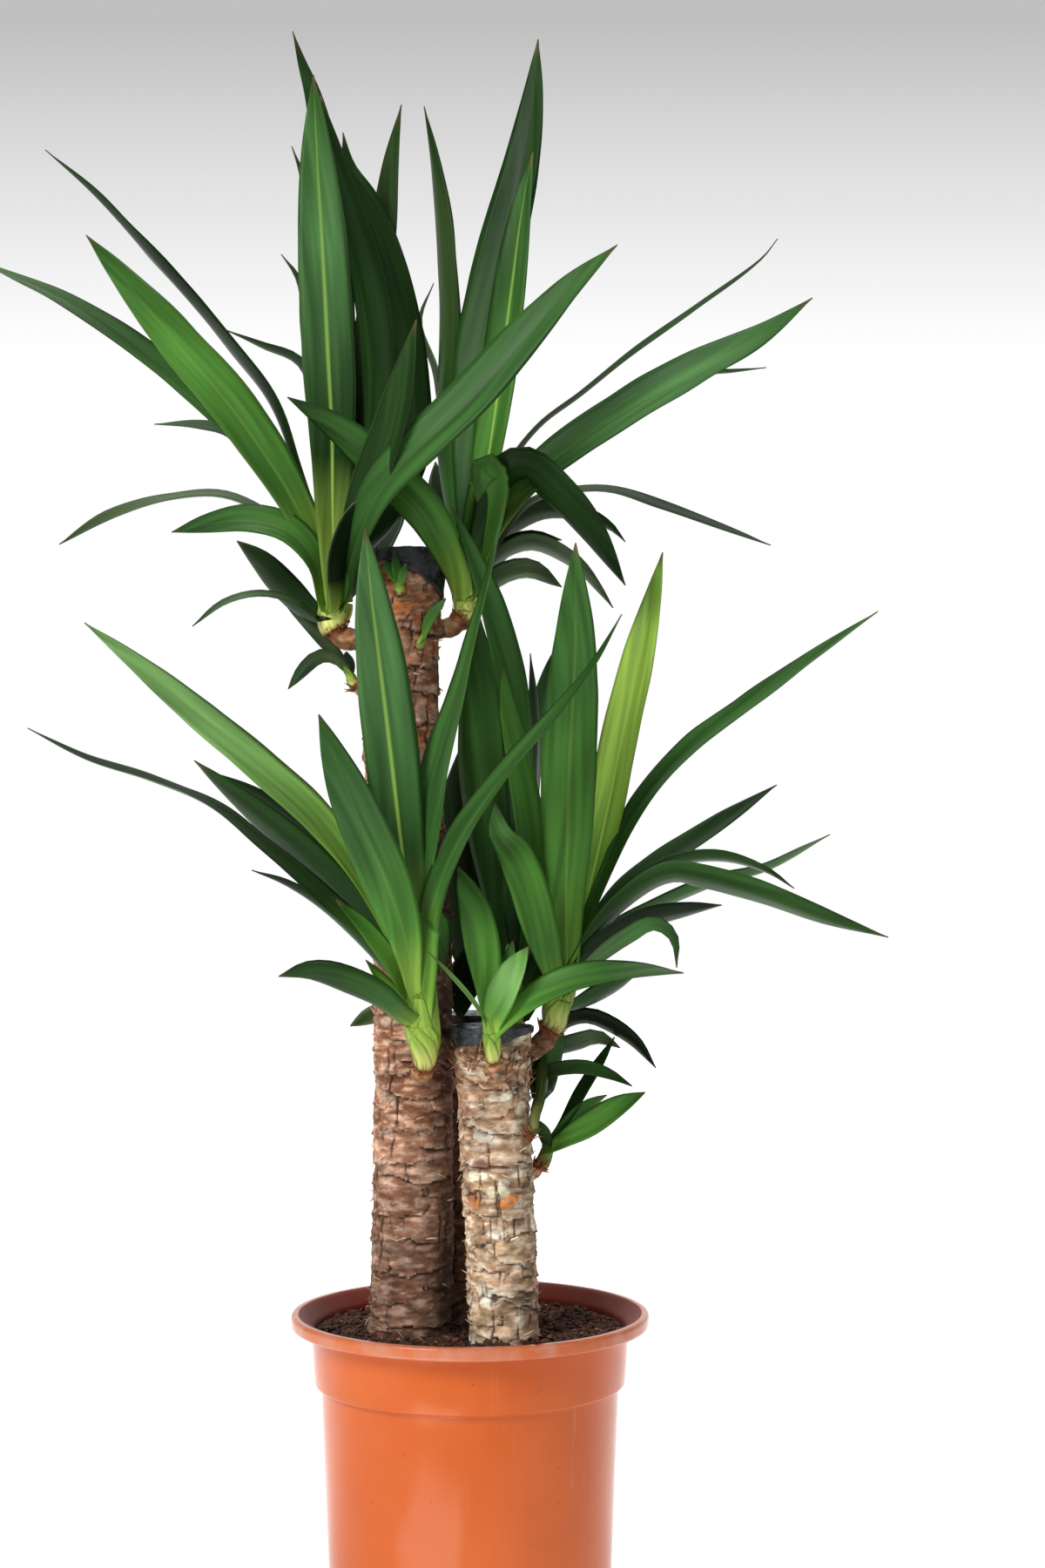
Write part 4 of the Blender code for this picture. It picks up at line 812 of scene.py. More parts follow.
LOWER_LEFT = Shoot(
    "head_lower_left", TALL,
    [(482, 1236, -22), (485, 1228, -40), (487, 1219, -48)], 7.5,
    [(487, 1192, -57), (484, 1160, -62), (483, 1130, -65), (482, 1105, -67)], (7, 10.5, 10.5, 9, 4), [
        Leaf(37, 15, (482, 1120, -66), (474, 1060, -76), (462, 980, -86), (450, 880, -92), (438, 780, -92),
             (427, 690, -88), (419, 606, -84)),
        Leaf(33, 14, (478, 1150, -70), (466, 1080, -92), (442, 1010, -106), (412, 940, -116),
             (388, 880, -120), (366, 820, -120), base=0.26),
        Leaf(34, 46, (474, 1130, -56), (430, 1030, -54), (370, 950, -50), (300, 885, -46), (220, 818, -42),
             (150, 758, -40), (97, 715, -38)),
        Leaf(28, (50, 60, 84, 70), (472, 1150, -60), (430, 1085, -72), (370, 1030, -80), (300, 972, -80),
             (240, 925, -76), (172, 896, -70), (100, 872, -64), (32, 836, -58)),
        Leaf(32, -48, (474, 1140, -52), (418, 1058, -40), (350, 985, -32), (285, 928, -26), (223, 873, -22)),
        Leaf(28, -58, (474, 1120, -52), (410, 1015, -38), (345, 950, -22), (290, 912, -14), (245, 887, -10)),
        Leaf(18, -66, (474, 1148, -52), (440, 1110, -38), (380, 1050, -18), (330, 1016, -12), (289, 999, -8)),
        Leaf(24, -42, (480, 1178, -66), (462, 1168, -76), (435, 1144, -80), (398, 1127, -80),
             (355, 1116, -76), (320, 1121, -72)),
        Leaf(16, 50, (476, 1165, -64), (450, 1140, -66), (434, 1120, -64), (420, 1102, -62)),
        Leaf(17, 40, (474, 1150, -62), (445, 1100, -84), (416, 1062, -88), (386, 1033, -88)),
        Leaf(24, 25, (486, 1165, -68), (486, 1110, -80), (488, 1070, -86), (496, 1055, -84), (503, 1078, -76),
             (507, 1118, -70)),
        Leaf(33, (30, 45, 75, 84), (488, 1120, -64), (484, 1010, -80), (500, 900, -88), (528, 800, -88),
             (548, 720, -84), (565, 650, -80), (580, 578, -76)),
        Leaf(30, (38, 45, 66, 74, 76), (490, 1140, -68), (497, 1045, -88), (525, 970, -104), (580, 890, -120),
             (640, 820, -128), (685, 760, -130), (714, 705, -128)),
    ])

LOWER_RIGHT = Shoot(
    "head_lower_right", SHORT,
    [(585, 1212, -33), (614, 1204, -31), (626, 1193, -30), (632, 1182, -30)], 7,
    [(638, 1160, -30), (644, 1138, -30), (650, 1105, -31), (653, 1080, -32)], (7.5, 8.2, 9, 8, 3.5), [
        Leaf(37, 10, (650, 1120, -40), (650, 1040, -58), (652, 950, -74), (655, 860, -84), (661, 733, -92),
             (661, 623, -94)),
        Leaf(32, 36, (654, 1110, -32), (682, 1000, -28), (700, 920, -26), (716, 840, -24), (734, 760, -22),
             (750, 690, -20), (761, 634, -18)),
        Leaf(27, 62, (654, 1110, -38), (690, 1020, -40), (735, 925, -44), (795, 858, -44), (860, 810, -42),
             (930, 757, -40), (1008, 702, -38)),
        Leaf(32, 62, (656, 1120, -24), (700, 1043, -12), (755, 995, -4), (801, 964, 2), (850, 930, 6),
             (892, 901, 10)),
        Leaf(22, -66, (654, 1118, -18), (700, 1070, 10), (750, 1043, 22), (820, 1014, 30), (880, 998, 34),
             (953, 958, 38)),
        Leaf(29, -58, (656, 1118, -38), (700, 1052, -58), (766, 1006, -76), (808, 1010, -86), (870, 1027, -94),
             (950, 1056, -104), (1020, 1076, -112)),
        Leaf(22, -64, (654, 1112, -30), (705, 1040, -28), (770, 994, -32), (830, 986, -38), (880, 1000, -42),
             (912, 1020, -44)),
        Leaf(26, -58, (650, 1132, -38), (690, 1087, -46), (740, 1058, -50), (790, 1046, -52),
             (829, 1039, -54)),
        Leaf(20, (60, 62, 50, 60), (648, 1140, -38), (686, 1102, -62), (722, 1076, -70), (752, 1063, -74),
             (772, 1078, -78), (777, 1111, -82)),
        Leaf(24, -60, (642, 1160, -30), (668, 1152, -26), (700, 1136, -24), (733, 1116, -22)),
        Leaf(27, (25, 20, 20, 45), (640, 1128, -44), (624, 1080, -68), (606, 1020, -80), (590, 982, -84),
             (575, 958, -74), (568, 920, -54)),
        Leaf(26, -40, (648, 1110, -24), (655, 1000, -4), (672, 930, 0), (698, 890, 0), (706, 862, 0)),
        Leaf(32, 60, (648, 1120, -22), (654, 1040, 30), (655, 960, 75), (655, 890, 120)),
        Leaf(30, 70, (648, 1135, -22), (658, 1104, 30), (664, 1088, 80), (668, 1078, 135)),
    ])

FRONT_SHOOT = Shoot(
    "shoot_front", SHORT,
    [(566, 1232, -44), (566, 1225, -59), (566, 1215, -66)], 4.2,
    [(565, 1195, -71), (563, 1170, -74), (561, 1150, -75)], (4.4, 5, 4.8, 2.5), [
        Leaf(25, 20, (561, 1160, -76), (556, 1110, -78), (545, 1050, -76), (526, 995, -72)),
        Leaf(22, 25, (566, 1175, -78), (582, 1132, -90), (596, 1106, -98), (607, 1087, -102)),
        Leaf(14, 30, (566, 1165, -72), (574, 1135, -72), (583, 1108, -70), (589, 1080, -66)),
        Leaf(24, (20, 40, 60), (568, 1185, -76), (610, 1147, -92), (660, 1124, -100), (720, 1116, -106),
             (785, 1117, -110)),
        Leaf(6, 58, (557, 1172, -78), (540, 1146, -86), (516, 1118, -92), (492, 1093, -96)),
    ])

BACK_HEAD = Shoot(
    "head_back", BACK,
    [(552, 1222, 36), (572, 1212, 22), (581, 1196, 16)], 7.2,
    [(587, 1160, 12), (591, 1120, 10), (594, 1085, 8), (597, 1060, 6)], (8.5, 9, 9, 8, 3.5), [
        Leaf(28, 40, (596, 1100, 4), (597, 980, -4), (593, 870, -18), (583, 775, -34), (563, 695, -44),
             (543, 638, -50), (518, 580, -52)),
        Leaf(28, 45, (600, 1100, 0), (610, 1010, -28), (603, 935, -46), (592, 870, -56), (581, 810, -60),
             (577, 763, -62)),
        Leaf(18, -50, (598, 1100, 10), (612, 900, 12), (613, 800, 14), (609, 750, 15)),
        Leaf(26, -50, (600, 1100, 12), (606, 950, 24), (618, 840, 30), (632, 770, 32), (644, 733, 32)),
        Leaf(30, -20, (598, 1110, 4), (602, 1020, -10), (608, 960, -18), (622, 918, -24)),
        Leaf(38, -20, (590, 1110, 6), (571, 1010, 3), (559, 930, 0), (552, 860, -2), (550, 780, -4),
             (551, 708, -4)),
        Leaf(28, 20, (586, 1150, 10), (566, 1116, 12), (547, 1108, 16), (533, 1132, 18), (528, 1172, 18)),
        Leaf(42, -25, (584, 1150, 16), (552, 1118, 32), (533, 1060, 44), (528, 990, 50), (527, 920, 54),
             (532, 850, 58)),
        Leaf(32, 60, (588, 1110, 16), (584, 1010, 65), (580, 930, 100), (576, 870, 135)),
        Leaf(30, 50, (594, 1140, 16), (614, 1104, 34), (632, 1050, 64), (640, 990, 96), (640, 930, 125)),
        Leaf(28, 75, (588, 1140, 18), (592, 1122, 80), (590, 1124, 130), (586, 1140, 180)),
        Leaf(34, 20, (594, 1168, 14), (604, 1140, 4), (614, 1100, 0), (622, 1040, 0), (628, 985, 0)),
    ])

SIDE_SHOOT_LOW = Shoot(
    "shoot_side_low", SHORT,
    [(592, 1352, -26), (613, 1347, -18), (620, 1338, -15)], 4.0,
    [(627, 1322, -13), (632, 1306, -12)], (4, 4, 2.2), [
        Leaf(12, 40, (630, 1314, -12), (648, 1290, -2), (670, 1250, 8), (690, 1218, 12), (706, 1190, 14)),
        Leaf(22, 40, (630, 1320, -14), (650, 1308, -20), (676, 1293, -24), (710, 1272, -28), (741, 1254, -30)),
        Leaf(14, -40, (630, 1316, -10), (652, 1292, -2), (676, 1270, 4), (697, 1257, 8)),
        Leaf(10, -30, (628, 1320, -14), (624, 1300, -18), (620, 1287, -20)),
    ])

SIDE_SHOOT_HIGH = Shoot(
    "shoot_side_high", SHORT,
    [(590, 1312, -34), (605, 1309, -48), (611, 1301, -51)], 2.8,
    [(614, 1284, -48), (620, 1257, -24), (622, 1228, -4), (626, 1205, 4)], (2.8, 2.8, 3, 4, 2.4), [
        Leaf(26, -20, (622, 1236, 2), (626, 1215, 2), (634, 1192, 2), (644, 1166, 4)),
        Leaf(18, -50, (626, 1205, 4), (645, 1178, 4), (672, 1169, 2), (700, 1178, 0), (728, 1196, -2),
             (753, 1226, -4)),
        Leaf(16, -40, (624, 1215, 6), (642, 1203, 14), (662, 1198, 18), (685, 1192, 20), (712, 1203, 22)),
        Leaf(13, 40, (622, 1236, 0), (640, 1228, -8), (670, 1226, -12), (700, 1234, -14), (726, 1247, -16)),
    ])

BEHIND_SHOOT = Shoot(
    "shoot_behind", TALL,
    [(478, 1206, 6), (478, 1198, 19), (479, 1188, 26)], 4.5,
    [(478, 1170, 29), (476, 1150, 30)], (5, 4.5, 2.4), [
        Leaf(18, -45, (472, 1172, 28), (450, 1162, 26), (425, 1168, 24), (402, 1178, 22)),
        Leaf(26, 60, (478, 1165, 32), (476, 1120, 60), (474, 1070, 85), (472, 1030, 105)),
        Leaf(24, 60, (480, 1165, 32), (492, 1130, 54), (500, 1100, 80), (506, 1080, 110)),
        Leaf(22, 70, (474, 1165, 32), (464, 1140, 60), (458, 1130, 85), (454, 1134, 110)),
    ])

SPROUT = Shoot(
    "sprout_top", TALL,
    [(459, 692, -28), (459, 686, -37), (459, 680, -40)], 2.2,
    [(458, 673, -42), (457, 665, -43)], (2.6, 2.4, 1.4), [
        Leaf(8, 30, (457, 670, -43), (449, 656, -46), (440, 643, -48)),
        Leaf(8, 40, (457, 667, -43), (454, 650, -47), (452, 633, -49)),
        Leaf(7, 30, (459, 670, -44), (463, 660, -50), (466, 647, -53)),
    ])

SPROUT_SIDE = Shoot(
    "sprout_side", TALL,
    [(480, 752, -28), (481, 747, -36), (482, 742, -39)], 2.0,
    [(484, 735, -41), (487, 727, -43)], (2.4, 2.2, 1.3), [
        Leaf(9, 35, (486, 732, -42), (492, 714, -46), (501, 700, -47), (512, 687, -46)),
    ])

CANES = [TALL, SHORT, BACK]
SHOOTS = [UPPER_LEFT, UPPER_RIGHT, TWIG, LOWER_LEFT, LOWER_RIGHT, FRONT_SHOOT, BACK_HEAD,
          SIDE_SHOOT_LOW, SIDE_SHOOT_HIGH, BEHIND_SHOOT, SPROUT, SPROUT_SIDE]

# For each leaf its tones from base to tip, and how strong its light midrib and light margin are. Leaves that
# lie in shade get painted shade in darker tones, and leaves lit from behind get painted light in paler ones.
PAINT = {
    "head_upper_left": "YBMM20 YBBM44 DDKD00 DDDD00 BMMM00 MGGO00 YBMD30 DDDD00 MDGD00 YDUM82 YMMD10 DDKD00 "
                       "DDKD00 DMDD02 DDDD00 MDOD00 DMMM22 BDDD13 YKKD04 MDDD00 KKDD00 MDDD00",
    "head_upper_right": "MMDD10 LBMM90 MMOD00 DGGD00 YMUM31 MODD00 DDDD00 BDDK02 MODD00 DKKK00 MDGK00 MDGD00 "
                        "DKDD00 YBBM30 YBMD20 MDDD00 MDKD00",
    "twig_left": "MGDD00 MGGD00 MDDD00",
    "head_lower_left": "YMUU90 YBUM30 YLSS10 LDDD00 BDDD00 MDDD00 MDDK00 YMDD00 YLLM00 YLBD00 YLBD20 BMMM13 "
                       "LMMD22",
    "head_lower_right": "LBMM40 YLYL82 BMMM10 MDMD20 MMMG00 DDMD00 MDMD00 DKKK00 MGUD00 MDDD00 LBBU20 MDDD00 "
                        "MDDD00 MDDD00",
    "shoot_front": "BBBM20 YBSB20 LBBM10 LBMG10 BSSN00",
    "head_back": "MMMM00 MMBB20 DDDK00 DDMD00 DDUD00 DDMD00 DKKD00 DDKD00 DDDD00 DDDD00 DDDD00 DDDD00",
    "shoot_side_low": "MDDD00 LBBM32 MMMB00 MDMM00",
    "shoot_side_high": "MDMD00 DKKK00 DDGD00 MGMD00",
    "shoot_behind": "DUGM00 MDDD00 MDDD00 MDDD00",
    "sprout_top": "LBMD00 LBMD00 LBMD00",
    "sprout_side": "LBMM00",
}


# Shoots

SEEDS_A_SHOOT = 40
CORE_ROWS = 40
CORE_SIDES = 24
CORE_END = 0.8
CORE_AT = (0, 0.06, 0.3, 1)
CORE_COLOURS = ((150, 104, 52), (220, 224, 132), (172, 204, 86), (92, 142, 48))
CORE_SHADE = {"shoot_side_high": 0.3, "shoot_side_low": 0.5, "shoot_behind": 0.5, "head_upper_left": 1.25,
              "head_upper_right": 1.4}
SHEATH_BELOW = 22
SHEATH_ABOVE = 7
SHEATH_COLUMNS = 13
SHEATH_THICK = 0.6 * MM
SHEATH_MOST = 1.1 * MM
UNMARKED = (0, 0, 1)


def add_sheath(skin, core, tint, leaf, paint, index):
    """The thin base of a leaf, clasping the core round the place where the leaf comes off."""
    root = np.array(leaf.points[0])
    row = int(np.argmin(np.linalg.norm(core.path - root, axis=1)))
    way = np.array(leaf.points[1]) - root
    facing = math.atan2(way @ core.two[row], way @ core.one[row])
    rows = np.arange(max(0, row - SHEATH_BELOW), min(CORE_ROWS - 1, row + SHEATH_ABOVE))
    rise = np.linspace(0, 1, len(rows))
    sweep = np.linspace(-1, 1, SHEATH_COLUMNS)
    angles = facing + sweep * (1.6 - 1.15 * rise ** 2)[:, None]
    stand = (0.15 + 0.5 * rise[:, None] + 0.35 * sweep ** 6) * (1 + 0.5 * (index % 3)) * MM
    stand = np.minimum(stand, SHEATH_MOST)
    inner = core.surface(rows, angles, stand - SHEATH_THICK)
    rings = np.concatenate([core.surface(rows, angles, stand), inner[:, ::-1]], axis=1)
    there_and_back = np.concatenate([sweep, sweep[::-1]])
    edge = (1 - 0.45 * there_and_back ** 6) * (0.9 + 0.16 * np.cos(there_and_back * 12 + index))
    tone = towards(tint[rows], leaf_colour(paint, 0.05), rise ** 1.5, 0.65)
    skin.add_tube(rings, tint=tone[:, None] * edge[:, None], blade=rings * (3, 3, 1), marks=UNMARKED)


def build_shoot(shoot, number):
    """Leaves, core and clasping leaf bases of one shoot. It is pale where the leaves clasp it."""
    skin = Skin("tint", "blade", "marks")
    share = np.linspace(0, 1, CORE_ROWS)
    gaps = [(after - before).length for before, after in itertools.pairwise(shoot.core)]
    marks = np.concatenate(([0], np.cumsum(gaps)))
    radii = np.interp(share * marks[-1], marks, shoot.core_radii)
    end = np.clip((share - CORE_END) / (1 - CORE_END), 0, 1)
    core = Tube(shoot.core, CORE_ROWS, radii * (1 - 0.9 * end ** 2))
    tint = rows_at(share, CORE_AT, [linear(colour) for colour in CORE_COLOURS])
    tint = tint * CORE_SHADE.get(shoot.name, 1.0)
    rings = core.surface(slice(None), full_turn(CORE_SIDES))
    skin.add_tube(rings, tint=tint[:, None], blade=rings, marks=UNMARKED)
    for index, (leaf, paint) in enumerate(zip(shoot.leaves, PAINT[shoot.name].split())):
        leaf.build(skin, paint, number * SEEDS_A_SHOOT + index + 1)
        add_sheath(skin, core, tint, leaf, paint, index)
    skin.piece(f"{shoot.name}_dressed", shoot.name, "leaf", LEAF_GREEN)


# Bark, necks and dry fibres

NECK_ROWS = 20
NECK_SIDES = 28
NECK_RIDGES = 3.5
NECK_END_ROWS = 3
NECK_SHADE = {"head_lower_right": 0.45, "shoot_side_high": 0.4}
NECK_DRY = linear((190, 128, 78))
NECK_FLAKE = linear((226, 190, 150))
NECK_END = linear((120, 50, 26))
FIBRE_TONE = linear((150, 104, 68))
STRIP_ROWS = 6
STRIP_THICK = 0.12 * MM
FIBRE_ROOT = -0.3 * MM
FIBRES_ABOVE_SOIL = 4 * MM
TOP_FIBRE_DROP = 13 * MM
TOP_FIBRE_REACH = 26 * MM

# Strips in mm: their least and most length, their least and most width, and their most curl
FRILL = ((3.6, 9), (0.6, 2.6), 2)
FIBRE = ((3, 9), (0.4, 1.6), 1)
TOP_FIBRE = ((4, 11), (0.5, 2.2), 1.5)


def add_neck(skin, shoot, colours):
    """A woody neck, brown at the cane and drying orange towards the green core."""
    neck = Tube(shoot.neck, NECK_ROWS, shoot.neck_radius)
    share = np.linspace(0, 1, NECK_ROWS)[:, None]
    ridge = np.abs(np.sin(share * math.pi * NECK_RIDGES))
    angles = full_turn(NECK_SIDES)
    plain = neck.surface(slice(None), angles)
    relief = 0.7 * noise(plain, 4 * MM, 71) + 0.5 * noise(plain, 2 * MM, 72)
    rings = neck.surface(slice(None), angles, (relief + 0.5 * ridge - 0.3) * MM)
    tint = towards(colours["plate"], NECK_DRY, share)
    tint = towards(tint, NECK_FLAKE, noise(rings, 3.2 * MM, 74) * 2, 0.6)
    tint = tint * (0.4 + 0.45 * ridge + 0.35 * noise(rings, 2.4 * MM, 73))[..., None]
    tint = tint * NECK_SHADE.get(shoot.name, 1.0)
    tint[-NECK_END_ROWS:] = tint[-NECK_END_ROWS:] * 0.3 + NECK_END * 0.7
    skin.add_tube(rings, tint=tint)


def add_strip(skin, rng, root, way, sizes, colour):
    """One dry papery strip or fibre that curls away from its root."""
    lengths, widths, most_curl = sizes
    length = rng.uniform(*lengths) * MM
    width = rng.uniform(*widths) * MM
    curl = rng.uniform(-most_curl, most_curl) * MM
    share = np.linspace(0, 1, STRIP_ROWS)[:, None]
    way = unit(way)
    bend = rng.normal(0, 1, 3)
    bend = unit(bend - way * bend.dot(way))
    line = root + way * share * length + bend * curl * share ** 2
    half = np.cross(way, bend) * (width * (1 - share ** 2) / 2 + 0.1 * MM)
    thin = bend * STRIP_THICK
    rings = np.stack([line - half, line + thin, line + half, line - thin], axis=1)
    skin.add_tube(rings, tint=colour * rng.uniform(0.6, 1.3))


def add_frill(skin, rng, shoot):
    """Dry remains of scale leaves round the place where a core leaves its neck."""
    centre = np.array(shoot.neck[-1])
    way = np.array((shoot.neck[-1] - shoot.neck[-2]).normalized())
    side = unit(np.cross(way, (0.3, 1, 0.2)))
    other = np.cross(way, side)
    for _ in range(int(4 + shoot.neck_radius / MM * 3)):
        turn = rng.uniform(0, math.tau)
        out = side * math.cos(turn) + other * math.sin(turn)
        root = centre + out * shoot.neck_radius * 0.9 - way * rng.uniform(0, 3) * MM
        away = way * rng.uniform(0.4, 1.2) + out * rng.uniform(0.3, 1.2)
        add_strip(skin, rng, root, away, FRILL, FIBRE_TONE)


def bark_spot(cane, height, angle):
    """A place just inside a cane's bark, the way out of it and the way round it."""
    out = np.array((math.cos(angle), math.sin(angle), 0))
    return cane.surface(height, angle, FIBRE_ROOT), out, np.array((-out[1], out[0], 0))


def build_canes():
    """Each cane's bark, with the necks of its shoots, their frills, and fibres on its skin and top."""
    rng = np.random.default_rng(5)
    for cane in CANES:
        skin = cane.build()
        for shoot in SHOOTS:
            if shoot.cane is cane:
                add_neck(skin, shoot, cane.colours)
                add_frill(skin, rng, shoot)
        for _ in range(cane.fibres):
            height = rng.uniform(SOIL_TOP + FIBRES_ABOVE_SOIL, cane.top - cane.calm_top)
            root, out, along = bark_spot(cane, height, rng.uniform(0, math.tau))
            along = (along + (0, 0, rng.uniform(-0.8, 0.8))) * rng.choice((-1, 1))
            add_strip(skin, rng, root, along + out * rng.uniform(0.1, 0.5), FIBRE, cane.colours["lip"])
        for _ in range(cane.top_fibres):
            height = cane.top - TOP_FIBRE_DROP - rng.uniform(0, 1) ** 1.6 * TOP_FIBRE_REACH
            root, out, along = bark_spot(cane, height, rng.uniform(0, math.tau))
            away = along * rng.uniform(-1, 1) + out * rng.uniform(0.1, 0.6) + (0, 0, rng.uniform(0.2, 1))
            add_strip(skin, rng, root, away, TOP_FIBRE, FIBRE_TONE)
        skin.piece(f"{cane.name}_bark", cane.name, cane.name.replace("cane", "bark"), cane.finish)


# Wax seals

WAX_THICK = 1.1 * MM
WAX_COLUMNS = 120
WAX_SIDE_ROWS = 26
WAX_TOP_ROWS = 22
WAX_HOLLOW = 0.6 * MM
WAX_ROLL = 0.5 * MM
WAX_MOST_LUMP = 0.25 * MM
WAX_HEART = 15 * MM

# For each seal its cane and seed, then its lower edge: how far it lies below the top and how far it
# runs down in mm, the way it runs and how sharply, and its waves: their height in mm, count and turn
SEALS = (
    ("wax_tall", TALL, 51, 9, 26, 0.17, 2.2, 1, 3, 0.4),
    ("wax_short", SHORT, 54, 3, 9, math.pi, 1, 1, 4, 0),
    ("wax_back", BACK, 57, 8, 0, 0, 1, 2.5, 3, 0),
)


def build_wax(name, cane, seed, drop, run, facing, power, wave, count, turn):
    """Wax dipped over a cane's cut top: a domed skin with a rolled, wavering lower edge."""
    angles = full_turn(WAX_COLUMNS)
    waver = 1.3 * noise(ring_points(0, 0, 1, angles, 0) * 3.3, 1, seed)
    run = run * (0.5 + 0.5 * np.cos(angles - facing)) ** power
    low = cane.top - (drop + run + wave * np.sin(count * angles + turn) - waver) * MM
    high = cane.top + GAP + WAX_THICK
    share = np.linspace(0, 1, WAX_SIDE_ROWS)[:, None]
    stand = GAP + WAX_THICK * np.minimum(1, 0.45 + share * 7) + WAX_ROLL * np.clip(1 - share * 12, 0, 1)
    side = cane.surface(low + (high - low) * share, angles, stand)
    share = np.linspace(0.04, 1, WAX_TOP_ROWS)[:, None]
    inward = (cane.radii[-1] + GAP + WAX_THICK) * (1 - share)
    top = ring_points(cane.xs[-1], cane.depth, inward, angles, high - WAX_HOLLOW * np.sin(share * math.pi))
    rings = np.concatenate([side, top])
    lumps = (0.55 * noise(rings, 6 * MM, seed + 1) + 0.3 * noise(rings, 2.6 * MM, seed + 2)) * MM
    out = unit(rings - (cane.xs[-1], cane.depth, cane.top - WAX_HEART))
    rings = rings + out * np.minimum(lumps, WAX_MOST_LUMP)[..., None]
    under = cane.surface(low + 0.8 * MM, angles, GAP * 0.5)
    inner = cane.surface(cane.top - 2 * MM, angles, GAP * 0.3)
    cap = inner * 0.3 + inner.mean(axis=0) * 0.7
    skin = Skin()
    skin.add_tube(np.concatenate([[cap, inner, under], rings]))
    skin.piece(f"{name}_seal", name, "wax", BLACK_WAX)


# Soil

AXIS_RING = 1 * MM
SOIL_COLUMNS = 220
SOIL_RINGS = 90
SOIL_SINK = 0.4 * MM
SOIL_EDGE_CALM = 4 * MM
SHADE_REACH = 11 * MM
CRUMBS = 3600
CRUMB_MM = (0.7, 2.9)
CRUMB_EDGE = 2.5 * MM
LARGE_EVERY = 40

# A crumb's kind: dark peat, bits of bark and pale grains, up to a share of all, and their tints
CRUMB_KINDS = ((0.72, (1, 1, 1)), (0.98, (2.0, 1.7, 1.5)), (1, (5, 4.6, 4.2)))
CRUMB_FACES = [
    (0, 11, 5), (0, 5, 1), (0, 1, 7), (0, 7, 10), (0, 10, 11), (1, 5, 9), (5, 11, 4), (11, 10, 2), (10, 7, 6),
    (7, 1, 8), (3, 9, 4), (3, 4, 2), (3, 2, 6), (3, 6, 8), (3, 8, 9), (4, 9, 5), (2, 4, 11), (6, 2, 10),
    (8, 6, 7), (9, 8, 1)]


def lump(x, y):
    """How far the peat's surface stands off level."""
    broad = np.sin(x / (17 * MM) + 0.6) * np.cos(y / (14 * MM) - 0.9)
    fine = np.sin(x / (6.1 * MM) + y / (9.3 * MM)) * np.cos(y / (5.7 * MM) - x / (11 * MM))
    return SOIL_LUMP * (0.6 * broad + 0.4 * fine)


def add_crumbs(skin, edge):
    """Crumbs of 20 faces, each stretched, dented and turned its own way."""
    rng = np.random.default_rng(19)
    golden = (1 + 5 ** 0.5) / 2
    corners = unit(np.array([np.roll((one, two * golden, 0), turn)
                             for turn in range(3) for two in (1, -1) for one in (-1, 1)]))
    for index in range(CRUMBS):
        reach = (edge - CRUMB_EDGE) * math.sqrt(rng.uniform(0, 1))
        turn = rng.uniform(0, math.tau)
        x, y = reach * math.cos(turn), reach * math.sin(turn)
        size = rng.uniform(*CRUMB_MM) * MM * (1 + (index % LARGE_EVERY == 0))
        shape = corners * (size, size * rng.uniform(0.4, 1), size * rng.uniform(0.3, 0.7))
        shape = shape * rng.uniform(0.6, 1.3, (len(corners), 1))
        turned = Matrix.Rotation(rng.uniform(0, math.tau), 3, "Z")
        turned = turned @ Matrix.Rotation(rng.uniform(-0.7, 0.7), 3, "X")
        spot = (x, y, SOIL_TOP + lump(x, y) + 0.3 * size)
        kind = rng.uniform(0, 1)
        tone = next(tone for most, tone in CRUMB_KINDS if kind < most)
        skin.add(shape @ np.array(turned).T + spot, CRUMB_FACES, tint=np.array(tone) * rng.uniform(0.4, 1.2))


def build_soil():
    """Peat that fills the pot, darker near the canes, with crumbs on it."""
    heights = (BAND_LOW_Z + WALL, UNDER_LIP)
    edge = float(np.interp(SOIL_TOP, heights, (BAND_LOW_RADIUS - WALL, BAND_TOP_RADIUS - WALL))) - GAP
    angles = full_turn(SOIL_COLUMNS)
    radii = np.concatenate([[0.3 * MM], np.linspace(2 * MM, edge, SOIL_RINGS)])[:, None]
    top = ring_points(0, 0, radii, angles, 0)
    rough = (1.6 * noise(top, 7 * MM, 3) + 0.8 * noise(top, 2.8 * MM, 4)) * MM
    calm = np.clip((edge - radii) / SOIL_EDGE_CALM, 0, 1)
    top[..., 2] = SOIL_TOP + (lump(top[..., 0], top[..., 1]) + rough) * calm - SOIL_SINK
    inside = WALL + GAP
    sides = [(BAND_LOW_RADIUS - inside, BAND_LOW_Z + WALL), (BODY_TOP_RADIUS - inside, BAND_LOW_Z + WALL),
             (BODY_TOP_RADIUS - inside, BAND_LOW_Z), (BASE_RADIUS - inside, inside), (AXIS_RING, inside)]
    reach, height = np.transpose(sides)[..., None]
    rings = np.concatenate([top, ring_points(0, 0, reach, angles, height)])[::-1]
    shade = 0.7 + 0.45 * noise(rings, 9 * MM, 8)
    for cane in CANES:
        away = np.hypot(rings[..., 0] - cane.xs[0], rings[..., 1] - cane.depth) - cane.radii[0]
        shade = shade * (1 - 0.5 * np.exp(-np.maximum(away, 0) / SHADE_REACH))
    skin = Skin("tint")
    skin.add_tube(rings, tint=shade[..., None])
    add_crumbs(skin, edge)
    skin.piece("soil_peat", "soil", "soil", PEAT)


# Pot

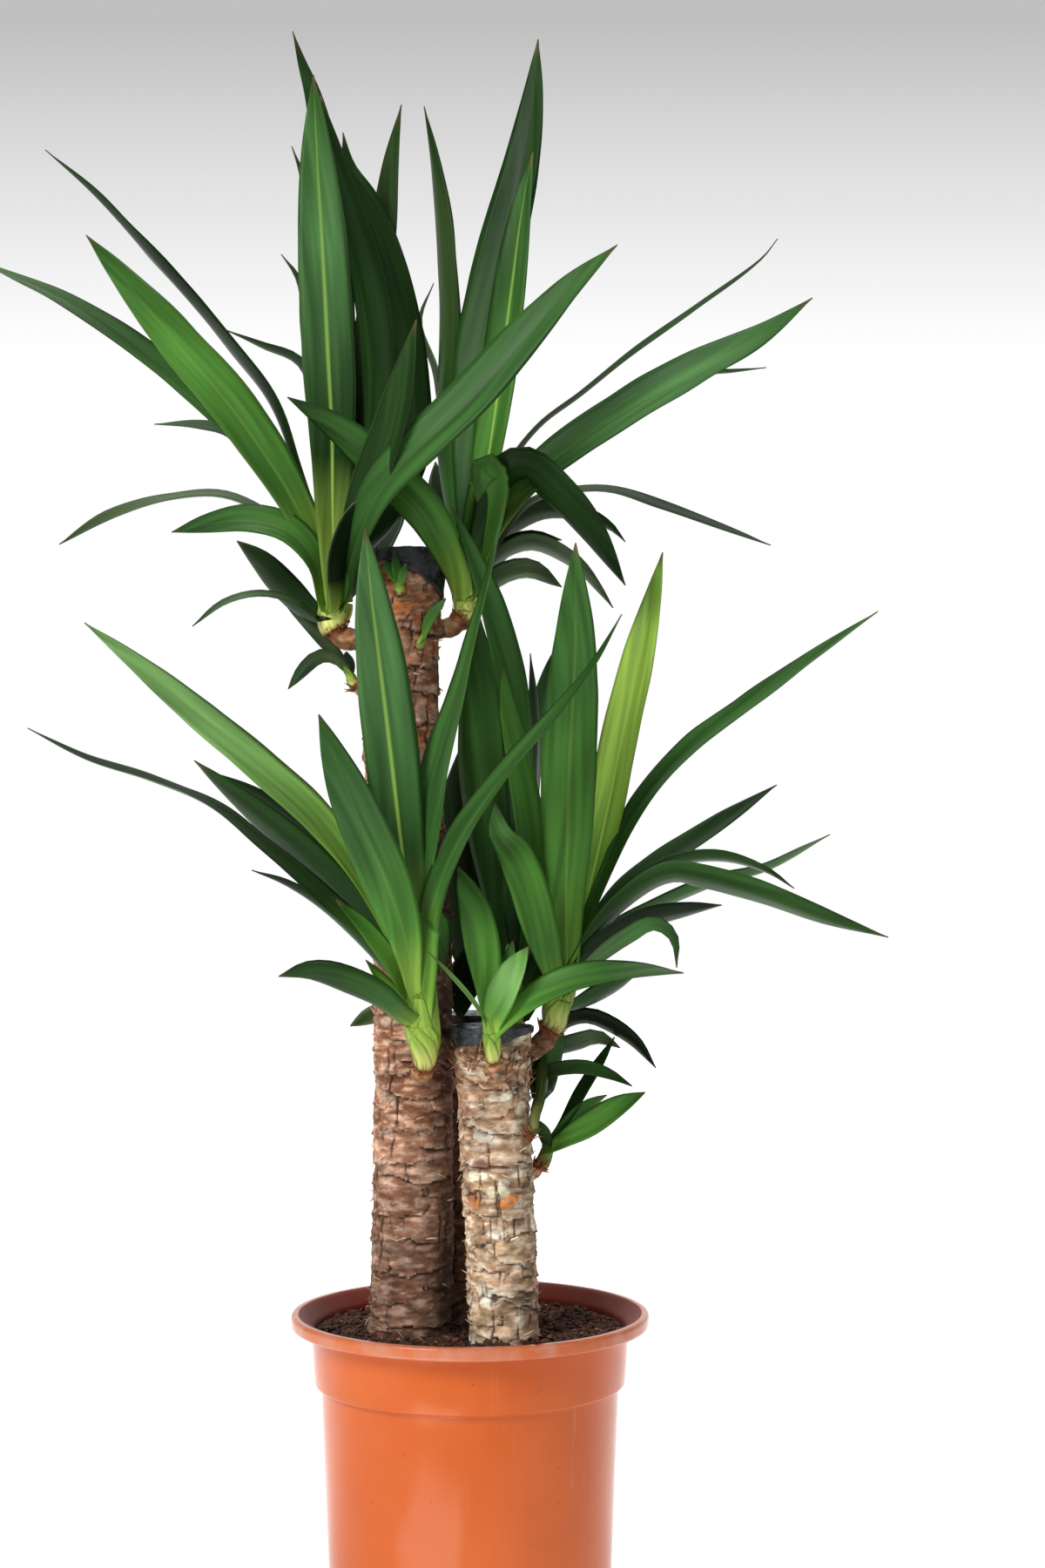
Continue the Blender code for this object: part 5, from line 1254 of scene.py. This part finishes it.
POT_SIDES = 256
EDGE_ROUND = 2.6 * MM
EDGE_STEPS = 4
LONGEST_STRAIGHT = 9 * MM
OUT_OF_ROUND = 0.25 * MM
NICK_AT = (617, 1556, -118)
NICK_WIDE = 1.6 * MM
NICK_DEEP = 1.6 * MM
INSIDE_SHADE = (0.28, 0.11, 0.08)
DRAIN_HOLES = 5
DRAIN_RADIUS = 6 * MM
DRAIN_CIRCLE = 62 * MM
DRAIN_SIDES = 32
SHARP_FROM = math.radians(50)


def rounded(profile):
    """The profile with each inner corner rounded off."""
    out = [profile[0]]
    for before, corner, after in zip(profile, profile[1:], profile[2:]):
        room = min(np.linalg.norm(before - corner), np.linalg.norm(after - corner)) * 0.45
        start = corner + unit(before - corner) * min(EDGE_ROUND, room)
        end = corner + unit(after - corner) * min(EDGE_ROUND, room)
        for share in np.linspace(0, 1, EDGE_STEPS + 1):
            out.append((1 - share) ** 2 * start + 2 * share * (1 - share) * corner + share ** 2 * end)
    return out + [profile[-1]]


def subdivided(profile):
    """The profile with long straights cut up, so that light runs evenly over them."""
    out = [profile[0]]
    for start, end in itertools.pairwise(profile):
        parts = max(1, int(np.linalg.norm(end - start) / LONGEST_STRAIGHT))
        out += [start + (end - start) * step / parts for step in range(1, parts + 1)]
    return np.array(out)


def cut_drains(pot):
    """Cut the drain holes through the pot's floor."""
    cutters = []
    for angle in full_turn(DRAIN_HOLES) + math.pi / DRAIN_HOLES:
        bpy.ops.mesh.primitive_cylinder_add(vertices=DRAIN_SIDES, radius=DRAIN_RADIUS, depth=WALL * 4,
                                            location=tuple(ring_points(0, 0, DRAIN_CIRCLE, angle, 0)))
        cutters.append(bpy.context.object)
        cut = pot.modifiers.new("drain", "BOOLEAN")
        cut.operation = "DIFFERENCE"
        cut.object = cutters[-1]
    bpy.context.view_layer.update()
    graph = bpy.context.evaluated_depsgraph_get()
    mesh = bpy.data.meshes.new_from_object(pot.evaluated_get(graph), depsgraph=graph)
    pot.modifiers.clear()
    pot.data = mesh
    for cutter in cutters:
        bpy.data.objects.remove(cutter)
    mesh.set_sharp_from_angle(angle=SHARP_FROM)


def build_pot():
    """The turned shell, its rolled lip with a nick in it, and the drain holes."""
    floor_edge = BASE_RADIUS + (BODY_TOP_RADIUS - BASE_RADIUS) * WALL / BAND_LOW_Z - WALL
    profile = np.array([
        (AXIS_RING, WALL), (floor_edge, WALL), (BODY_TOP_RADIUS - WALL, BAND_LOW_Z),
        (BAND_LOW_RADIUS - WALL, BAND_LOW_Z + WALL), (BAND_TOP_RADIUS - WALL, UNDER_LIP),
        (LIP_RADIUS - LIP_TOP_WIDTH, POT_HEIGHT), (LIP_RADIUS, POT_HEIGHT), (LIP_RADIUS, UNDER_LIP),
        (BAND_TOP_RADIUS, UNDER_LIP), (BAND_LOW_RADIUS, BAND_LOW_Z), (BODY_TOP_RADIUS, BAND_LOW_Z),
        (BASE_RADIUS, 0), (AXIS_RING, 0)])
    reach, height = subdivided(rounded(profile)).T[..., None]
    angles = full_turn(POT_SIDES)
    off = OUT_OF_ROUND * np.sin(2 * angles + 0.6) * np.minimum(1, reach / BASE_RADIUS)
    rings = ring_points(0, 0, reach + off * (reach < LIP_RADIUS - 3 * MM), angles, height)
    x, y, z = np.moveaxis(rings, -1, 0)
    near = np.exp(-((x - at_pixel(*NICK_AT).x) / NICK_WIDE) ** 2) * (y < 0)
    near = near * np.clip((z - UNDER_LIP - 2 * MM) / (4 * MM), 0, 1) * (np.hypot(x, y) > LIP_RADIUS - 5 * MM)
    rings[..., 2] -= near * NICK_DEEP
    shade = np.ones((len(rings), 1, 3))
    shade[:np.argmax(height)] = INSIDE_SHADE
    skin = Skin("tint")
    skin.add_tube(rings[::-1], tint=shade[::-1])
    cut_drains(skin.piece("pot_shell", "pot", "pot", ORANGE_PLASTIC))


# Stage, lights and camera

STAGE_X = 6.0
BACKDROP_Y = 5.0
BACKDROP_TOP = 6.0
GLOW_FRONT_Y = -0.45
GLOW_FRONT_FADE = 30 * MM
FLOOR_DULL_Y = 0.0
FLOOR_WHITE_Y = 0.35
FLOOR_DARK = 0.02
FLOOR_DULL = 0.42
FLOOR_WHITE = 0.85
FADE_LOW = 1.681
FADE_HIGH = 2.493
FADE_GREY = 0.527
WORLD_STRENGTH = 0.28
CLIP_END = 20

# Each lamp's place and aim, its size in metres, its power in watts and its colour
LAMPS = {
    "key": ((-1.5, -2.0, 2.2), (0, 0, 0.6), 1.2, 62, (1, 1, 1)),
    "fill": ((2.2, -1.6, 1.2), (0, 0, 0.6), 1.4, 9, (1, 1, 1)),
    "top": ((0.2, 0.5, 2.8), (0, 0, 0.6), 1.4, 24, (1, 1, 1)),
    "sheet": ((-0.15, -0.32, 0.004), (-0.15, -0.32, 1), 0.24, 0.4, (1, 0.93, 0.84)),
}


def floor_glow(look):
    """A floor that glows round the plant and goes up to full white behind it."""
    along = look.parts(look.place())[1]
    front = look.span(along, GLOW_FRONT_Y - GLOW_FRONT_FADE, GLOW_FRONT_Y)
    near = look.mix(front, grey(FLOOR_DARK), grey(FLOOR_DULL))
    return look.mix(look.span(along, FLOOR_DULL_Y, FLOOR_WHITE_Y), near, grey(FLOOR_WHITE))


def backdrop_glow(look):
    """White low down, fading evenly to grey at the top of the picture."""
    height = look.parts(look.place())[2]
    return look.mix(look.span(height, FADE_LOW, FADE_HIGH, kind="LINEAR"), grey(1.0), grey(FADE_GREY))


def build_sheet(name, near, far, glow, dull):
    """A dull sheet between two edges, each at a y and z, glowing in a colour that a function gives."""
    look = Look(f"{name}_white")
    look.wire(look.shader, {"Roughness": 1.0, "Specular IOR Level": 0.0, "Base Color": grey(dull),
                            "Emission Strength": 1.0, "Emission Color": glow(look)})
    look.made.cycles.emission_sampling = "NONE"
    corners = [(-STAGE_X, *near), (STAGE_X, *near), (STAGE_X, *far), (-STAGE_X, *far)]
    mesh = bpy.data.meshes.new(name)
    mesh.from_pydata(corners, [], [(0, 1, 2, 3)])
    mesh.materials.append(look.made)
    add_object(name, mesh)


def build_lights():
    """The lamps, which the camera doesn't see, and an even light from all round."""
    for name, (spot, aim, size, power, colour) in LAMPS.items():
        lamp = bpy.data.lights.new(name, "AREA")
        lamp.size = size
        lamp.energy = power
        lamp.color = colour
        made = add_object(name, lamp)
        made.location = spot
        made.rotation_euler = (Vector(aim) - Vector(spot)).to_track_quat("-Z", "Y").to_euler()
        made.visible_camera = False
    world = bpy.data.worlds.new("studio")
    world.use_nodes = True
    background = world.node_tree.nodes["Background"]
    background.inputs["Color"].default_value = grey(1.0)
    background.inputs["Strength"].default_value = WORLD_STRENGTH
    bpy.context.scene.world = world
    bpy.context.scene.view_settings.view_transform = "Standard"


def build_camera():
    """The view that the plant was read in."""
    lens = bpy.data.cameras.new("camera")
    lens.sensor_width = SENSOR_MM
    lens.lens = FOCAL_PX / FRAME_HEIGHT_PX * SENSOR_MM
    lens.clip_end = CLIP_END
    made = add_object("camera", lens)
    made.location = (VIEW_X, -VIEW_DISTANCE, VIEW_Z)
    made.rotation_euler = (math.radians(90), 0, 0)
    bpy.context.scene.camera = made


build_camera()
build_pot()
build_soil()
build_canes()
for seal in SEALS:
    build_wax(*seal)
for number, shoot in enumerate(SHOOTS):
    build_shoot(shoot, number)
build_sheet("floor", (-BACKDROP_Y, 0), (BACKDROP_Y, 0), floor_glow, 0.7)
build_sheet("backdrop", (BACKDROP_Y, 0), (BACKDROP_Y, BACKDROP_TOP), backdrop_glow, 0.0)
build_lights()
